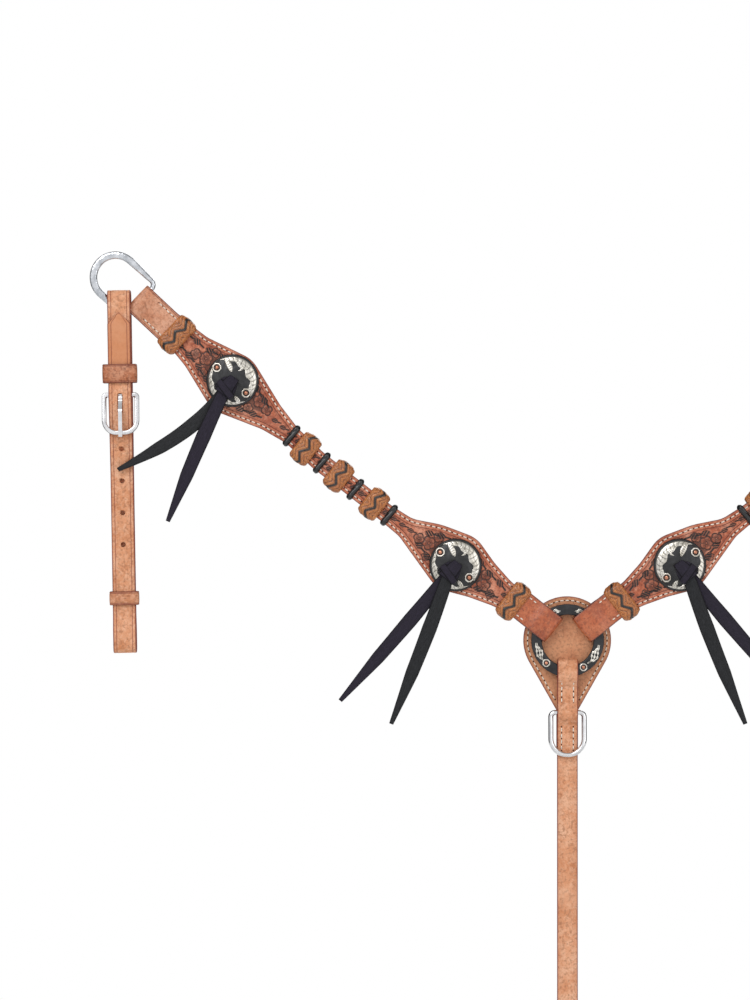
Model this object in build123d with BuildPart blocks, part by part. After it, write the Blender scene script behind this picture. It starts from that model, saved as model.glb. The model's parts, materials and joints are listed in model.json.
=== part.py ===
from build123d import *
import math
import os

os.makedirs("parts", exist_ok=True)

# A western breast collar, hanging as it lies on a horse's chest.
# Millimetres. X runs across the chest, -Y faces forward and +Z is up.
# The origin is on the yoke's back face, on the axis of the centre ring.

# ---- driving dimensions ----
ARM_REACH = 435.1          # ring centre to the shoulder ring's bar, along an arm
STATION_REACH = 435.1      # the reach that the places along an arm are written for
ARM_RISE = 38.3            # an arm's angle above level
FLARE_WIDTH = 51.6         # arm where it is widest, before its corners are rounded
NECK_WIDTH = 15.0          # arm between the rawhide knots
LOOP_WIDTH = 24.0          # arm where it folds round a ring
LEATHER = 2.2              # thickness of one layer of skirting leather
FACE_LEATHER = 2.6         # tooled top layer of an arm, and the yoke's
RING_OUTER = 29.0          # centre ring, outside radius
RING_INNER = 20.5
SHOULDER_RING_OUTER = 20.7
SHOULDER_RING_LENGTH = 27.3  # shoulder ring's arc centre to its bar's centre
YOKE_RADIUS = 35.0
CENTRE_STRAP_WIDTH = 16.5
TUG_WIDTH = 18.4
TUG_LENGTH = 280.8         # shoulder ring's bar to the lowest point of a tug's loop
CONCHO_RADIUS = 21.0
STRING_WIDTH = 11.0
CINCH_BAR_HEIGHT = -380.0  # bar of the centre strap's buckle
SNAP_TOP = -553.0          # top of the snap's spring barrel

# ---- fits and small sizes ----
GAP = 0.3                  # between pieces that move past each other
LAID = 0.2                 # between two straps laid on each other
WIRE = 2.0                 # radius of the round wire in dees, bars and eyes
HOLE_PITCH = 25.4
PUNCHED_HOLE = 2.0         # radius of a strap hole
TUG_LEAN = 1.0             # degrees off plumb

# ---- depths, all measured from the yoke's back face towards the front ----
YOKE_LINING_FRONT = -2.0
YOKE_FRONT = YOKE_LINING_FRONT - FACE_LEATHER
ARM_BACK = YOKE_FRONT - 0.5
ARM_LINING_FRONT = ARM_BACK - LEATHER
ARM_FRONT = ARM_LINING_FRONT - FACE_LEATHER
RING_BACK = ARM_LINING_FRONT - GAP
SHOULDER_RING_THICKNESS = 4.0
CENTRE_RING_THICKNESS = 3.6
ORNAMENT_THICKNESS = 0.35
LOOP_FRONT_INNER = RING_BACK - SHOULDER_RING_THICKNESS - GAP
LOOP_BACK_RUN = ARM_BACK - LEATHER / 2
LOOP_FRONT_RUN = LOOP_FRONT_INNER - LEATHER / 2
LOOP_FLAP = ARM_FRONT - LEATHER / 2
RING_MID = RING_BACK - SHOULDER_RING_THICKNESS / 2

# ---- where an arm's two loops fold, along the arm ----
RING_FOLD = RING_INNER - 6.0   # centre line of the fold inside the centre ring
LOOP_OFFSET = -0.6         # the loop's centre line, across the arm
RING_FLAP_START = RING_OUTER + 7.5
RING_FLAP_END = RING_OUTER + 23.0
RING_LOOP_END = RING_OUTER + 5.0   # where each loop's back run meets the lining
SHOULDER_LOOP_END = -20.0
SHOULDER_FOLD = WIRE + GAP + LEATHER / 2
SHOULDER_FLAP_END = -39.0
FACE_RING_END = RING_OUTER + 2.0   # the tooled layer's two ends
FACE_SHOULDER_END = -3.6
SHOULDER_TURN = 4.9        # the shoulder end rises more steeply than the arm
SHOULDER_SIDE = 1.5        # the shoulder bar's centre, across the arm


def save(solid, name):
    """Labels one piece and writes its file."""
    solid.label = name
    export_step(solid, f"parts/{name}.step")


def save_pair(solid, name):
    """Writes a piece of the left half and its mirror image on the right."""
    save(solid, f"left_{name}")
    save(mirror(solid, about=Plane.YZ), f"right_{name}")


def direction(angle):
    """Unit vector in the front view, counted up from the left-hand side."""
    turn = math.radians(angle)
    return Vector(-math.cos(turn), 0, math.sin(turn))


def arm_plane(depth, angle=ARM_RISE, origin=Vector(0, 0, 0)):
    """Front view of the left arm: x runs outwards, y across it, normal to the back."""
    place = Vector(origin.X, depth, origin.Z)
    return Plane(origin=place, x_dir=direction(angle), z_dir=(0, 1, 0))


def arm_side(across, angle=ARM_RISE, origin=Vector(0, 0, 0)):
    """Side view of the left arm: x runs outwards, y is depth."""
    front = arm_plane(0, angle, origin)
    place = front.from_local_coords((0, across, 0))
    return Plane(origin=place, x_dir=front.x_dir, z_dir=-front.y_dir)


def front_plane(x, depth, z, turn=0.0):
    """Front view with its normal towards the viewer, turned anticlockwise."""
    angle = math.radians(turn)
    return Plane(origin=(x, depth, z), x_dir=(math.cos(angle), 0, math.sin(angle)), z_dir=(0, -1, 0))


def folded_strap(plane, route, radii, width, thickness):
    """A flat strap that follows a route drawn in its side view."""
    with BuildPart() as strap:
        with BuildLine(plane) as path:
            FilletPolyline(*route, radius=radii)
        start = Plane(path.line @ 0, x_dir=plane.z_dir, z_dir=path.line % 0)
        with BuildSketch(start):
            Rectangle(width, thickness)
        sweep()
    return strap.part


def wire_loop(plane, corners, radii, radius):
    """A closed loop of round wire."""
    with BuildPart() as loop:
        with BuildLine(plane) as path:
            FilletPolyline(*corners, radius=radii, close=True)
        with BuildSketch(Plane(path.line @ 0, z_dir=path.line % 0)):
            Circle(radius)
        sweep()
    return loop.part


# ---- yoke, centre ring and its ornaments ----

def yoke_layer(back, front):
    """A disc behind the ring that narrows into the centre strap's tail."""
    tail_half = CENTRE_STRAP_WIDTH / 2 + 0.3
    tail_start = -1.6 * YOKE_RADIUS
    touch = math.degrees(math.acos(YOKE_RADIUS / math.hypot(tail_half, tail_start)))
    lean = math.degrees(math.atan2(tail_start, tail_half)) + touch
    side = Vector(YOKE_RADIUS * math.cos(math.radians(lean)), YOKE_RADIUS * math.sin(math.radians(lean)))
    with BuildPart() as layer:
        with BuildSketch(front_plane(0, back, 0)):
            Circle(YOKE_RADIUS)
            with BuildLine():
                Polyline((0, 0), (side.X, side.Y), (tail_half, tail_start), (tail_half, -90),
                         (-tail_half, -90), (-tail_half, tail_start), (-side.X, side.Y), close=True)
            make_face()
        extrude(amount=back - front)
    return layer.part


def centre_ring():
    with BuildPart() as ring:
        with BuildSketch(front_plane(0, RING_BACK, 0)):
            Circle(RING_OUTER)
            Circle(RING_INNER, mode=Mode.SUBTRACT)
        extrude(amount=CENTRE_RING_THICKNESS)
        fillet(ring.edges().filter_by(GeomType.CIRCLE), radius=1.2)
    return ring.part


def ring_ornaments():
    """Three low crescents on the ring's front, between the three loops."""
    middle = (RING_OUTER + RING_INNER) / 2
    half_width = (RING_OUTER - RING_INNER) / 2 - 1.6
    depth = RING_BACK - CENTRE_RING_THICKNESS
    with BuildPart() as ornaments:
        for centre in (90, 210, 330):
            with BuildSketch(front_plane(0, depth, 0)):
                with BuildLine():
                    CenterArc((0, 0), middle, centre - 24, 48)
                trace(line_width=2 * half_width)
            extrude(amount=ORNAMENT_THICKNESS)
    return ornaments.part


# ---- an arm: two layers whose ends fold round the rings ----

def shoulder_point(along, across):
    """A point of the shoulder end, given in the arm's own front view."""
    turn = math.radians(SHOULDER_TURN)
    x = ARM_REACH + along * math.cos(turn) - across * math.sin(turn)
    y = SHOULDER_SIDE + along * math.sin(turn) + across * math.cos(turn)
    return (x, y)


def arm_stations():
    """(along, middle, width, corner radius) down the arm, from ring to shoulder."""
    scale = ARM_REACH / STATION_REACH
    swell = FLARE_WIDTH - NECK_WIDTH
    return [
        (RING_OUTER + 17, -1.5, LOOP_WIDTH - 2.4, 20),
        (64 * scale, -3.3, NECK_WIDTH + 0.25 * swell, 40),
        (84 * scale, -4.8, NECK_WIDTH + 0.53 * swell, 60),
        (107.5 * scale, -6.5, FLARE_WIDTH, 24),
        (136 * scale, -6.9, NECK_WIDTH + 0.53 * swell, 60),
        (157 * scale, -9.3, NECK_WIDTH + 0.07 * swell, 24),
        (176 * scale, -10.0, NECK_WIDTH, 60),
        (245 * scale, -10.6, NECK_WIDTH, 60),
        (274 * scale, -8.1, NECK_WIDTH + 0.01 * swell, 40),
        (296 * scale, -6.9, NECK_WIDTH + 0.25 * swell, 40),
        (336.5 * scale, -5.7, FLARE_WIDTH, 24),
        (375 * scale, -2.8, NECK_WIDTH + 0.38 * swell, 24),
        (391 * scale, -1.2, LOOP_WIDTH + 1.1, 20),
    ]


def arm_outline(ring_end, shoulder_end):
    """The arm's closed outline as points and corner radii."""
    half = LOOP_WIDTH / 2
    straight = RING_OUTER + 9
    stations = arm_stations()
    upper = [(ring_end, LOOP_OFFSET + half), (straight, LOOP_OFFSET + half)]
    upper += [(x, middle + width / 2) for x, middle, width, radius in stations]
    upper += [shoulder_point(-26, half + 0.8), shoulder_point(shoulder_end, half + 0.8)]
    lower = [(ring_end, LOOP_OFFSET - half), (straight, LOOP_OFFSET - half)]
    lower += [(x, middle - width / 2) for x, middle, width, radius in stations]
    lower += [shoulder_point(-26, -half - 0.8), shoulder_point(shoulder_end, -half - 0.8)]
    edge_radii = [0, 20] + [radius for x, middle, width, radius in stations] + [20, 0]
    return upper + lower[::-1], edge_radii + edge_radii[::-1]


def arm_layer(back, front, ring_end, shoulder_end):
    points, radii = arm_outline(ring_end, shoulder_end)
    with BuildPart() as layer:
        with BuildSketch(arm_plane(front)):
            with BuildLine():
                FilletPolyline(*points, radius=radii, close=True)
            make_face()
        extrude(amount=back - front)
    return layer.part


def shoulder_centre():
    """Centre of the shoulder ring's bar."""
    return arm_plane(0).from_local_coords((ARM_REACH, SHOULDER_SIDE, 0))


def ring_end_loop():
    route = [(RING_FLAP_END, LOOP_FLAP), (RING_FLAP_START, LOOP_FLAP), (FACE_RING_END, LOOP_FRONT_RUN),
             (RING_FOLD, LOOP_FRONT_RUN), (RING_FOLD, LOOP_BACK_RUN), (RING_LOOP_END, LOOP_BACK_RUN)]
    return folded_strap(arm_side(LOOP_OFFSET), route, [3, 3, 2.4, 2.4], LOOP_WIDTH, LEATHER)


def shoulder_end_loop():
    route = [(SHOULDER_FLAP_END, LOOP_FLAP), (-9.5, LOOP_FLAP), (-4.0, LOOP_FRONT_RUN),
             (SHOULDER_FOLD, LOOP_FRONT_RUN), (SHOULDER_FOLD, LOOP_BACK_RUN),
             (SHOULDER_LOOP_END, LOOP_BACK_RUN)]
    side = arm_side(0, ARM_RISE + SHOULDER_TURN, shoulder_centre())
    return folded_strap(side, route, [3, 3, 2.4, 2.4], LOOP_WIDTH + 1.6, LEATHER)


def wrapped_band(plane, across, depth, corner, length, arm_pieces):
    """A band round the arm, fitted to the leather that it grips."""
    with BuildPart() as band:
        with BuildSketch(plane.offset(-length / 2)):
            RectangleRounded(across, depth, corner)
        extrude(amount=length)
        fillet(band.edges().group_by(Axis(plane.origin, plane.z_dir))[0], radius=2.0)
        fillet(band.edges().group_by(Axis(plane.origin, plane.z_dir))[-1], radius=2.0)
        for piece in arm_pieces:
            add(piece, mode=Mode.SUBTRACT)
    return band.part


def band_plane(along, across, depth, angle=ARM_RISE, origin=Vector(0, 0, 0)):
    """Section of the left arm: x runs across it, y is depth, normal outwards."""
    front = arm_plane(depth, angle, origin)
    place = front.from_local_coords((along, across, 0))
    return Plane(origin=place, x_dir=front.y_dir, z_dir=front.x_dir)


def rawhide_knots(arm_pieces):
    """The shoulder's knot, the three on the narrow neck and the one beside the ring."""
    scale = ARM_REACH / STATION_REACH
    arm_middle = (ARM_BACK + ARM_FRONT) / 2
    flap_middle = (ARM_BACK + LOOP_FLAP - LEATHER / 2) / 2
    narrow = NECK_WIDTH + 10
    wide = LOOP_WIDTH + 7.5
    shoulder = band_plane(-39.7, 0, flap_middle, ARM_RISE + SHOULDER_TURN, shoulder_centre())
    shoulder_knot = wrapped_band(shoulder, wide, 13.8, 5, 17, arm_pieces)
    neck_knots = []
    for along, across in ((258.6, -9.7), (224.5, -10.3), (188.6, -10.2)):
        plane = band_plane(along * scale, across, arm_middle)
        neck_knots.append(wrapped_band(plane, narrow, 12.6, 5, 16, arm_pieces))
    ring_side = band_plane(RING_OUTER + 24.2, -2.3, flap_middle)
    ring_knot = wrapped_band(ring_side, wide, 13.8, 5, 14, arm_pieces)
    return shoulder_knot, Compound(children=neck_knots), ring_knot


def black_wraps(arm_pieces):
    """Four thin twisted bands between the rawhide knots."""
    scale = ARM_REACH / STATION_REACH
    arm_middle = (ARM_BACK + ARM_FRONT) / 2
    wraps = []
    for along, across in ((273.9, -8.4), (241.6, -10.4), (207.5, -10.4), (173.6, -9.9)):
        plane = band_plane(along * scale, across, arm_middle)
        wraps.append(wrapped_band(plane, NECK_WIDTH + 5, 9.6, 4, 5, arm_pieces))
    return Compound(children=wraps)


# ---- conchos and the leather strings tied through them ----
STRING_THICKNESS = 2.0
CONCHO_HEIGHT = 5.2
CONCHO_BACK = ARM_FRONT - 0.05
KNOT_BACK = CONCHO_BACK - CONCHO_HEIGHT - 0.2
KNOT_PLATE = 1.0
BACK_TAIL = KNOT_BACK - KNOT_PLATE - GAP
FRONT_TAIL = BACK_TAIL - STRING_THICKNESS - GAP
KNOT_FRONT = FRONT_TAIL - STRING_THICKNESS - GAP
TAIL_PIVOT = 8.6           # from the concho's centre to the tails' turning centre
KNOT_WIDTH = 13.0
SPINE = (6.4, 9.6)         # the string's fold, above the tails' turning centre
PEGS = (8.0, 2.0)          # the string's two passes through the concho


def string_plane(centre, turn, depth):
    """Front view at the tails' turning centre, with y pointing away from the tails."""
    lean = math.radians(turn)
    x = centre.X - TAIL_PIVOT * math.sin(-lean)
    z = centre.Z - TAIL_PIVOT * math.cos(lean)
    return front_plane(x, depth, z, turn)


def concho(centre, turn):
    """A domed disc with two slots for its string."""
    profile = Plane(origin=(centre.X, CONCHO_BACK, centre.Z), x_dir=(1, 0, 0), z_dir=(0, 0, -1))
    with BuildPart() as disc:
        with BuildSketch(profile):
            with BuildLine():
                Line((0, 0), (CONCHO_RADIUS, 0))
                Line((CONCHO_RADIUS, 0), (CONCHO_RADIUS, 1.0))
                ThreePointArc((CONCHO_RADIUS, 1.0), (CONCHO_RADIUS * 0.55, 3.9), (0, CONCHO_HEIGHT))
                Line((0, CONCHO_HEIGHT), (0, 0))
            make_face()
        revolve(axis=Axis(profile.origin, (0, -1, 0)))
        with BuildSketch(string_plane(centre, turn, CONCHO_BACK)):
            with Locations(*[(0, height) for height in PEGS]):
                Rectangle(STRING_WIDTH - 1, 3.0)
        extrude(amount=CONCHO_HEIGHT + 1, mode=Mode.SUBTRACT)
    return disc.part


def string_knot(centre, turn):
    """The string's two passes through the concho, its fold and the wrap over the tails."""
    low = -5.0
    high = SPINE[1]
    with BuildPart() as knot:
        with BuildSketch(string_plane(centre, turn, CONCHO_BACK)):
            with Locations(*[(0, height) for height in PEGS]):
                Rectangle(STRING_WIDTH - 2, 2.2)
        extrude(amount=CONCHO_BACK - KNOT_BACK + KNOT_PLATE / 2)
        with BuildSketch(string_plane(centre, turn, KNOT_BACK)):
            with Locations((0, (low + high) / 2)):
                RectangleRounded(KNOT_WIDTH, high - low, 2)
        extrude(amount=KNOT_PLATE)
        with BuildSketch(string_plane(centre, turn, KNOT_BACK)):
            with Locations((0, (SPINE[0] + SPINE[1]) / 2)):
                RectangleRounded(KNOT_WIDTH, SPINE[1] - SPINE[0], 1.5)
        extrude(amount=KNOT_BACK - KNOT_FRONT + LEATHER)
        with BuildSketch(string_plane(centre, turn, KNOT_FRONT)):
            with Locations((0, (low + high) / 2)):
                RectangleRounded(KNOT_WIDTH, high - low, 2)
        extrude(amount=LEATHER)
    return knot.part


def string_tail(centre, turn, depth, length, heading):
    """One tail: round at its root, widest in its middle, narrow at its tip."""
    pivot = string_plane(centre, turn, depth).origin
    root = STRING_WIDTH / 2 - 0.3
    with BuildPart() as tail:
        with BuildSketch(front_plane(pivot.X, depth, pivot.Z, heading)):
            Circle(root)
            with BuildLine():
                Polyline((0, root), (0.4 * length, STRING_WIDTH / 2), (length, 1.8),
                         (length, -1.8), (0.4 * length, -STRING_WIDTH / 2), (0, -root), close=True)
            make_face()
        extrude(amount=STRING_THICKNESS)
    return tail.part


# ---- shoulder ring ----

RING_SECTION = 6.0         # the shoulder ring's width, seen from the front


def shoulder_ring():
    """A flat dee whose straight bar is round, so that it turns in the arm's loop."""
    angle = ARM_RISE + SHOULDER_TURN
    half_bar = SHOULDER_RING_OUTER - RING_SECTION / 2
    top = (SHOULDER_RING_LENGTH, half_bar)
    far = (SHOULDER_RING_LENGTH + half_bar, 0)
    bottom = (SHOULDER_RING_LENGTH, -half_bar)
    ring_plane = arm_plane(RING_BACK - SHOULDER_RING_THICKNESS, angle, shoulder_centre())
    bar_plane = band_plane(0, 0, RING_MID, angle, shoulder_centre())
    with BuildPart() as ring:
        with BuildSketch(ring_plane):
            with BuildLine():
                Line((-1, half_bar), top)
                ThreePointArc(top, far, bottom)
                Line(bottom, (-1, -half_bar))
            trace(line_width=RING_SECTION)
        extrude(amount=SHOULDER_RING_THICKNESS)
        flats = ring.faces().filter_by(Plane.XZ)
        fillet(flats.edges(), radius=1.0)
        with BuildSketch(Plane(bar_plane.origin, x_dir=bar_plane.z_dir, z_dir=bar_plane.x_dir)):
            Circle(WIRE - 0.1)
        extrude(amount=half_bar, both=True)
    return ring.part


# ---- buckles, keepers and the straps that go through them ----
FOLD_REACH = WIRE + GAP + LEATHER / 2 + 0.1   # strap's centre line from the bar's centre
TAB_STEP = LEATHER + LAID                     # between two straps laid together
BUCKLE_HEIGHT = 30.2                          # bar to the frame's far side, upright
BUCKLE_STEP = 5.9                             # how far the far side stands forward
FRAME_SECTION = 3.5


def bar_depth(main):
    """Depth of a buckle's bar, for a strap whose main run lies at this depth."""
    return main + TAB_STEP


def buckle_fold(main, bar_z, tab_length):
    """A strap's end, from its main run down round a buckle's bar and up behind."""
    bar = bar_depth(main)
    points = [(main, bar_z + 8.5), (bar - FOLD_REACH, bar_z + 2), (bar - FOLD_REACH, bar_z - 3.4),
              (bar + FOLD_REACH, bar_z - 3.4), (bar + FOLD_REACH, bar_z + 2),
              (main + TAB_STEP, bar_z + 8.5), (main + TAB_STEP, bar_z + tab_length)]
    return points, [4, 4, 3.2, 3.2, 4, 4]


def billet_run(main, bar_z, tip_length):
    """A billet from below the buckle, behind its far side and over its bar, to the tip."""
    over = main - 1.3 - TAB_STEP + LAID / 2
    points = [(main + 0.5, bar_z - BUCKLE_HEIGHT + 5.5), (over, bar_z - 6), (over, bar_z + 2.5),
              (main - TAB_STEP, bar_z + 8), (main - TAB_STEP, bar_z + tip_length)]
    return points, [12, 12, 6, 6]


def buckle_frame(x, main, bar_z, strap_width):
    """A frame with a rounded far side, tilted so that the billet passes under it."""
    tilt = math.atan2(BUCKLE_STEP, BUCKLE_HEIGHT)
    length = math.hypot(BUCKLE_STEP, BUCKLE_HEIGHT)
    half = FRAME_SECTION / 2
    inner = strap_width + 4.2
    outer = inner + 2 * FRAME_SECTION
    middle = Plane(origin=(x, bar_depth(main), bar_z), x_dir=(1, 0, 0),
                   z_dir=(0, -math.cos(tilt), math.sin(tilt)))
    with BuildPart() as frame:
        with BuildSketch(middle):
            with BuildLine():
                FilletPolyline((-outer / 2, half), (outer / 2, half), (outer / 2, -length - half),
                               (-outer / 2, -length - half), radius=[3, 3, 12, 12], close=True)
            make_face()
            with BuildLine():
                FilletPolyline((-inner / 2, -half), (inner / 2, -half), (inner / 2, half - length),
                               (-inner / 2, half - length), radius=[1, 1, 8.5, 8.5], close=True)
            make_face(mode=Mode.SUBTRACT)
        extrude(amount=half, both=True)
        flats = frame.faces().sort_by(Axis(middle.origin, middle.z_dir))
        fillet(flats[0].edges() + flats[-1].edges(), radius=1.0)
    return frame.part


def buckle_tongue(x, main, bar_z):
    """A tongue that turns on the buckle's bar and lies over the frame's far side."""
    bar = bar_depth(main)
    thickness = 2.4
    route = [(bar - 3.1, bar_z - 0.4), (main - 2.0, bar_z - 5), (main - 6.5, bar_z - 13),
             (main - 7.0, bar_z - BUCKLE_HEIGHT - 3.2)]
    arm = folded_strap(Plane.YZ.offset(x), route, [3, 6], 3.0, thickness)
    with BuildPart() as tongue:
        with BuildSketch(Plane.YZ.offset(x)):
            with Locations((bar, bar_z)):
                Circle(WIRE + 2.0)
        extrude(amount=1.5, both=True)
        add(arm)
        with BuildSketch(Plane.YZ.offset(x)):
            with Locations((bar, bar_z)):
                Circle(WIRE + 0.18)
        extrude(amount=3, both=True, mode=Mode.SUBTRACT)
    return tongue.part


def keeper(x, middle, z, inside_width, inside_depth, wall, height):
    """A leather band round the layers of a strap."""
    with BuildPart() as band:
        with BuildSketch(Plane.XY.offset(z - height / 2)):
            with Locations((x, middle)):
                RectangleRounded(inside_width + 2 * wall, inside_depth + 2 * wall, wall)
                RectangleRounded(inside_width, inside_depth, 0.6, mode=Mode.SUBTRACT)
        extrude(amount=height)
    return band.part


def tongue_slots(x, main, bar_z, in_fold):
    """The tongue's slot in the billet, or in the strap's fold round the bar."""
    bar = bar_depth(main)
    with BuildPart() as slots:
        if in_fold:
            with BuildSketch(front_plane(x, bar + 8, bar_z + 1)):
                SlotOverall(17, 5.0, rotation=90)
            extrude(amount=bar + 8 - (main - 2.35))
        else:
            with BuildSketch(front_plane(x, main - 1.2, bar_z - 6.5)):
                SlotOverall(16, 4.4, rotation=90)
            extrude(amount=15)
    return slots.part


def punched_holes(x, main, heights):
    with BuildPart() as holes:
        with BuildSketch(front_plane(x, main - 15, 0)):
            with Locations(*[(0, height) for height in heights]):
                Circle(PUNCHED_HOLE)
        extrude(amount=-22)
    return holes.part


def tip_trim(x, main, tip_z, width):
    """What is cut away to point a billet's tip."""
    side = width / 2 + 1
    with BuildPart() as trim:
        with BuildSketch(front_plane(x, main - 1.2, tip_z)):
            with BuildLine():
                Polyline((0, 0), (side, -side), (side, 2), (-side, 2), (-side, -side), close=True)
            make_face()
        extrude(amount=15)
    return trim.part


# ---- tug strap: one loop on the shoulder ring, buckled to itself ----
SHOULDER = shoulder_centre()
TUG_X = SHOULDER.X - 16.87
TUG_CLEARANCE = 1.65       # over the ring's lower leg, at the strap's outer edge
TUG_SPREAD = 7.6           # each run's distance from the ring's middle at the top
TUG_MAIN = RING_MID - TUG_SPREAD
TUG_BACK = RING_MID + TUG_SPREAD
TUG_CLOSED = 2.5           # the same where the loose keeper holds the runs together
TUG_MIDDLE = -10.0         # depth that the closed runs lie about
TUG_BUCKLE = SHOULDER.Z - 75.34
TUG_TIP = 65.5
TUG_PIVOT_Z = SHOULDER.Z - 6.84
TUG_BOTTOM = SHOULDER.Z - TUG_LENGTH


def tug_top():
    """Centre line of the tug's fold, clear of the shoulder ring's lower leg."""
    turn = math.radians(ARM_RISE + SHOULDER_TURN)
    inner = SHOULDER_RING_OUTER - RING_SECTION
    outer_edge = TUG_X - TUG_WIDTH / 2
    run = (SHOULDER.X - inner * math.sin(turn) - outer_edge) / math.cos(turn)
    leg = SHOULDER.Z - inner * math.cos(turn) + run * math.sin(turn)
    return leg + TUG_CLEARANCE + LEATHER / 2


def leaned(piece):
    """Turns a tug's piece a little off plumb about its top."""
    return piece.rotate(Axis((TUG_X, 0, TUG_PIVOT_Z), (0, 1, 0)), -TUG_LEAN)


def tug_strap():
    fold, fold_radii = buckle_fold(TUG_MAIN, TUG_BUCKLE, 40)
    billet, billet_radii = billet_run(TUG_MAIN, TUG_BUCKLE, TUG_TIP)
    low = TUG_BOTTOM + LEATHER / 2
    front = TUG_MIDDLE - TUG_CLOSED
    back = TUG_MIDDLE + TUG_CLOSED
    top = tug_top()
    bar = TUG_BUCKLE
    loop = [(TUG_MAIN, top), (TUG_BACK, top), (TUG_BACK, bar + 19.5), (back, bar - 90.5), (back, low + 29),
            (TUG_MIDDLE + 5, low + 17), (TUG_MIDDLE + 5, low), (TUG_MIDDLE - 5, low),
            (TUG_MIDDLE - 5, low + 17), (front, low + 29), (front, bar - 61.5), (TUG_MAIN + 0.5, bar - 29.5)]
    loop_radii = [5, 5, 80, 80, 12, 12, 4.6, 4.6, 12, 12, 60, 12]
    radii = fold_radii[::-1] + loop_radii + billet_radii
    strap = folded_strap(Plane.YZ.offset(TUG_X), fold[::-1] + loop + billet, radii, TUG_WIDTH, LEATHER)
    first_hole = TUG_BUCKLE - 42.9
    heights = [first_hole - step * HOLE_PITCH for step in range(4)]
    with BuildPart() as cut_strap:
        add(strap)
        add(tongue_slots(TUG_X, TUG_MAIN, TUG_BUCKLE, True), mode=Mode.SUBTRACT)
        add(tongue_slots(TUG_X, TUG_MAIN, TUG_BUCKLE, False), mode=Mode.SUBTRACT)
        add(punched_holes(TUG_X, TUG_MAIN, heights), mode=Mode.SUBTRACT)
        add(tip_trim(TUG_X, TUG_MAIN, TUG_BUCKLE + TUG_TIP, TUG_WIDTH), mode=Mode.SUBTRACT)
    return cut_strap.part


def save_tug():
    width = TUG_WIDTH
    fixed_depth = 3 * TAB_STEP + 0.6
    loose_depth = 2 * TUG_CLOSED + LEATHER + 2 * GAP
    save_pair(leaned(tug_strap()), "tug_strap")
    save_pair(leaned(buckle_frame(TUG_X, TUG_MAIN, TUG_BUCKLE, width)), "tug_buckle")
    save_pair(leaned(buckle_tongue(TUG_X, TUG_MAIN, TUG_BUCKLE)), "tug_tongue")
    fixed = keeper(TUG_X, TUG_MAIN, TUG_BUCKLE + 17, width + 5, fixed_depth, 1.9, 15)
    save_pair(leaned(fixed), "tug_keeper")
    loose = keeper(TUG_X, TUG_MIDDLE, TUG_BOTTOM + 43.7, width + 1, loose_depth, 1.9, 11)
    save_pair(leaned(loose), "tug_loose_keeper")


# ---- centre strap, tie-down dee, billet and snap ----
DEE_HEIGHT = -57.6
DEE_DEPTH = YOKE_FRONT - GAP - WIRE
STRAP_DEPTH = YOKE_FRONT - LEATHER / 2
STRAP_SPLIT = -90.0        # where the strap's folded top meets its plain run
CINCH_MAIN = -7.5
EYE_DEPTH = CINCH_MAIN + 1.7
EYE_BAR = SNAP_TOP + 29.0


def centre_strap():
    """Sewn to the yoke's tail, folded over the ring and the dee; its folded top is returned first."""
    fold, fold_radii = buckle_fold(CINCH_MAIN, CINCH_BAR_HEIGHT, 40)
    top = -16.1
    over_dee = DEE_DEPTH - WIRE - 0.4 - LEATHER / 2
    on_back_run = STRAP_DEPTH - TAB_STEP
    route = [(STRAP_DEPTH, -50), (STRAP_DEPTH, top), (LOOP_FRONT_RUN, top),
             (LOOP_FRONT_RUN, -RING_OUTER - 2), (on_back_run, -RING_OUTER - 8), (on_back_run, -50),
             (over_dee, DEE_HEIGHT + 3), (over_dee, DEE_HEIGHT - 3), (STRAP_DEPTH, DEE_HEIGHT - 9.5),
             (STRAP_DEPTH, -110), (CINCH_MAIN, -320)]
    radii = [2.6, 2.6, 4, 4, 4, 3, 3, 5, 100, 100]
    strap = folded_strap(Plane.YZ, route + fold, radii + fold_radii, CENTRE_STRAP_WIDTH, LEATHER)
    with BuildPart() as cut_strap:
        add(strap)
        add(tongue_slots(0, CINCH_MAIN, CINCH_BAR_HEIGHT, True), mode=Mode.SUBTRACT)
    level = Plane.XY.offset(STRAP_SPLIT)
    return split(cut_strap.part, level, keep=Keep.TOP), split(cut_strap.part, level, keep=Keep.BOTTOM)


def tie_down_dee():
    """A round-wire dee whose bar lies under the strap and whose bow hangs in front."""
    half = 13.3
    drop = 33.8
    forward = 2.5
    tilt = math.atan2(forward, drop)
    plane = Plane(origin=(0, DEE_DEPTH, DEE_HEIGHT), x_dir=(1, 0, 0),
                  z_dir=(0, -math.cos(tilt), math.sin(tilt)))
    length = math.hypot(forward, drop)
    corners = [(-half, 0), (half, 0), (half, -length), (-half, -length)]
    return wire_loop(plane, corners, [3.5, 3.5, half - 0.02, half - 0.02], WIRE)


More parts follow.
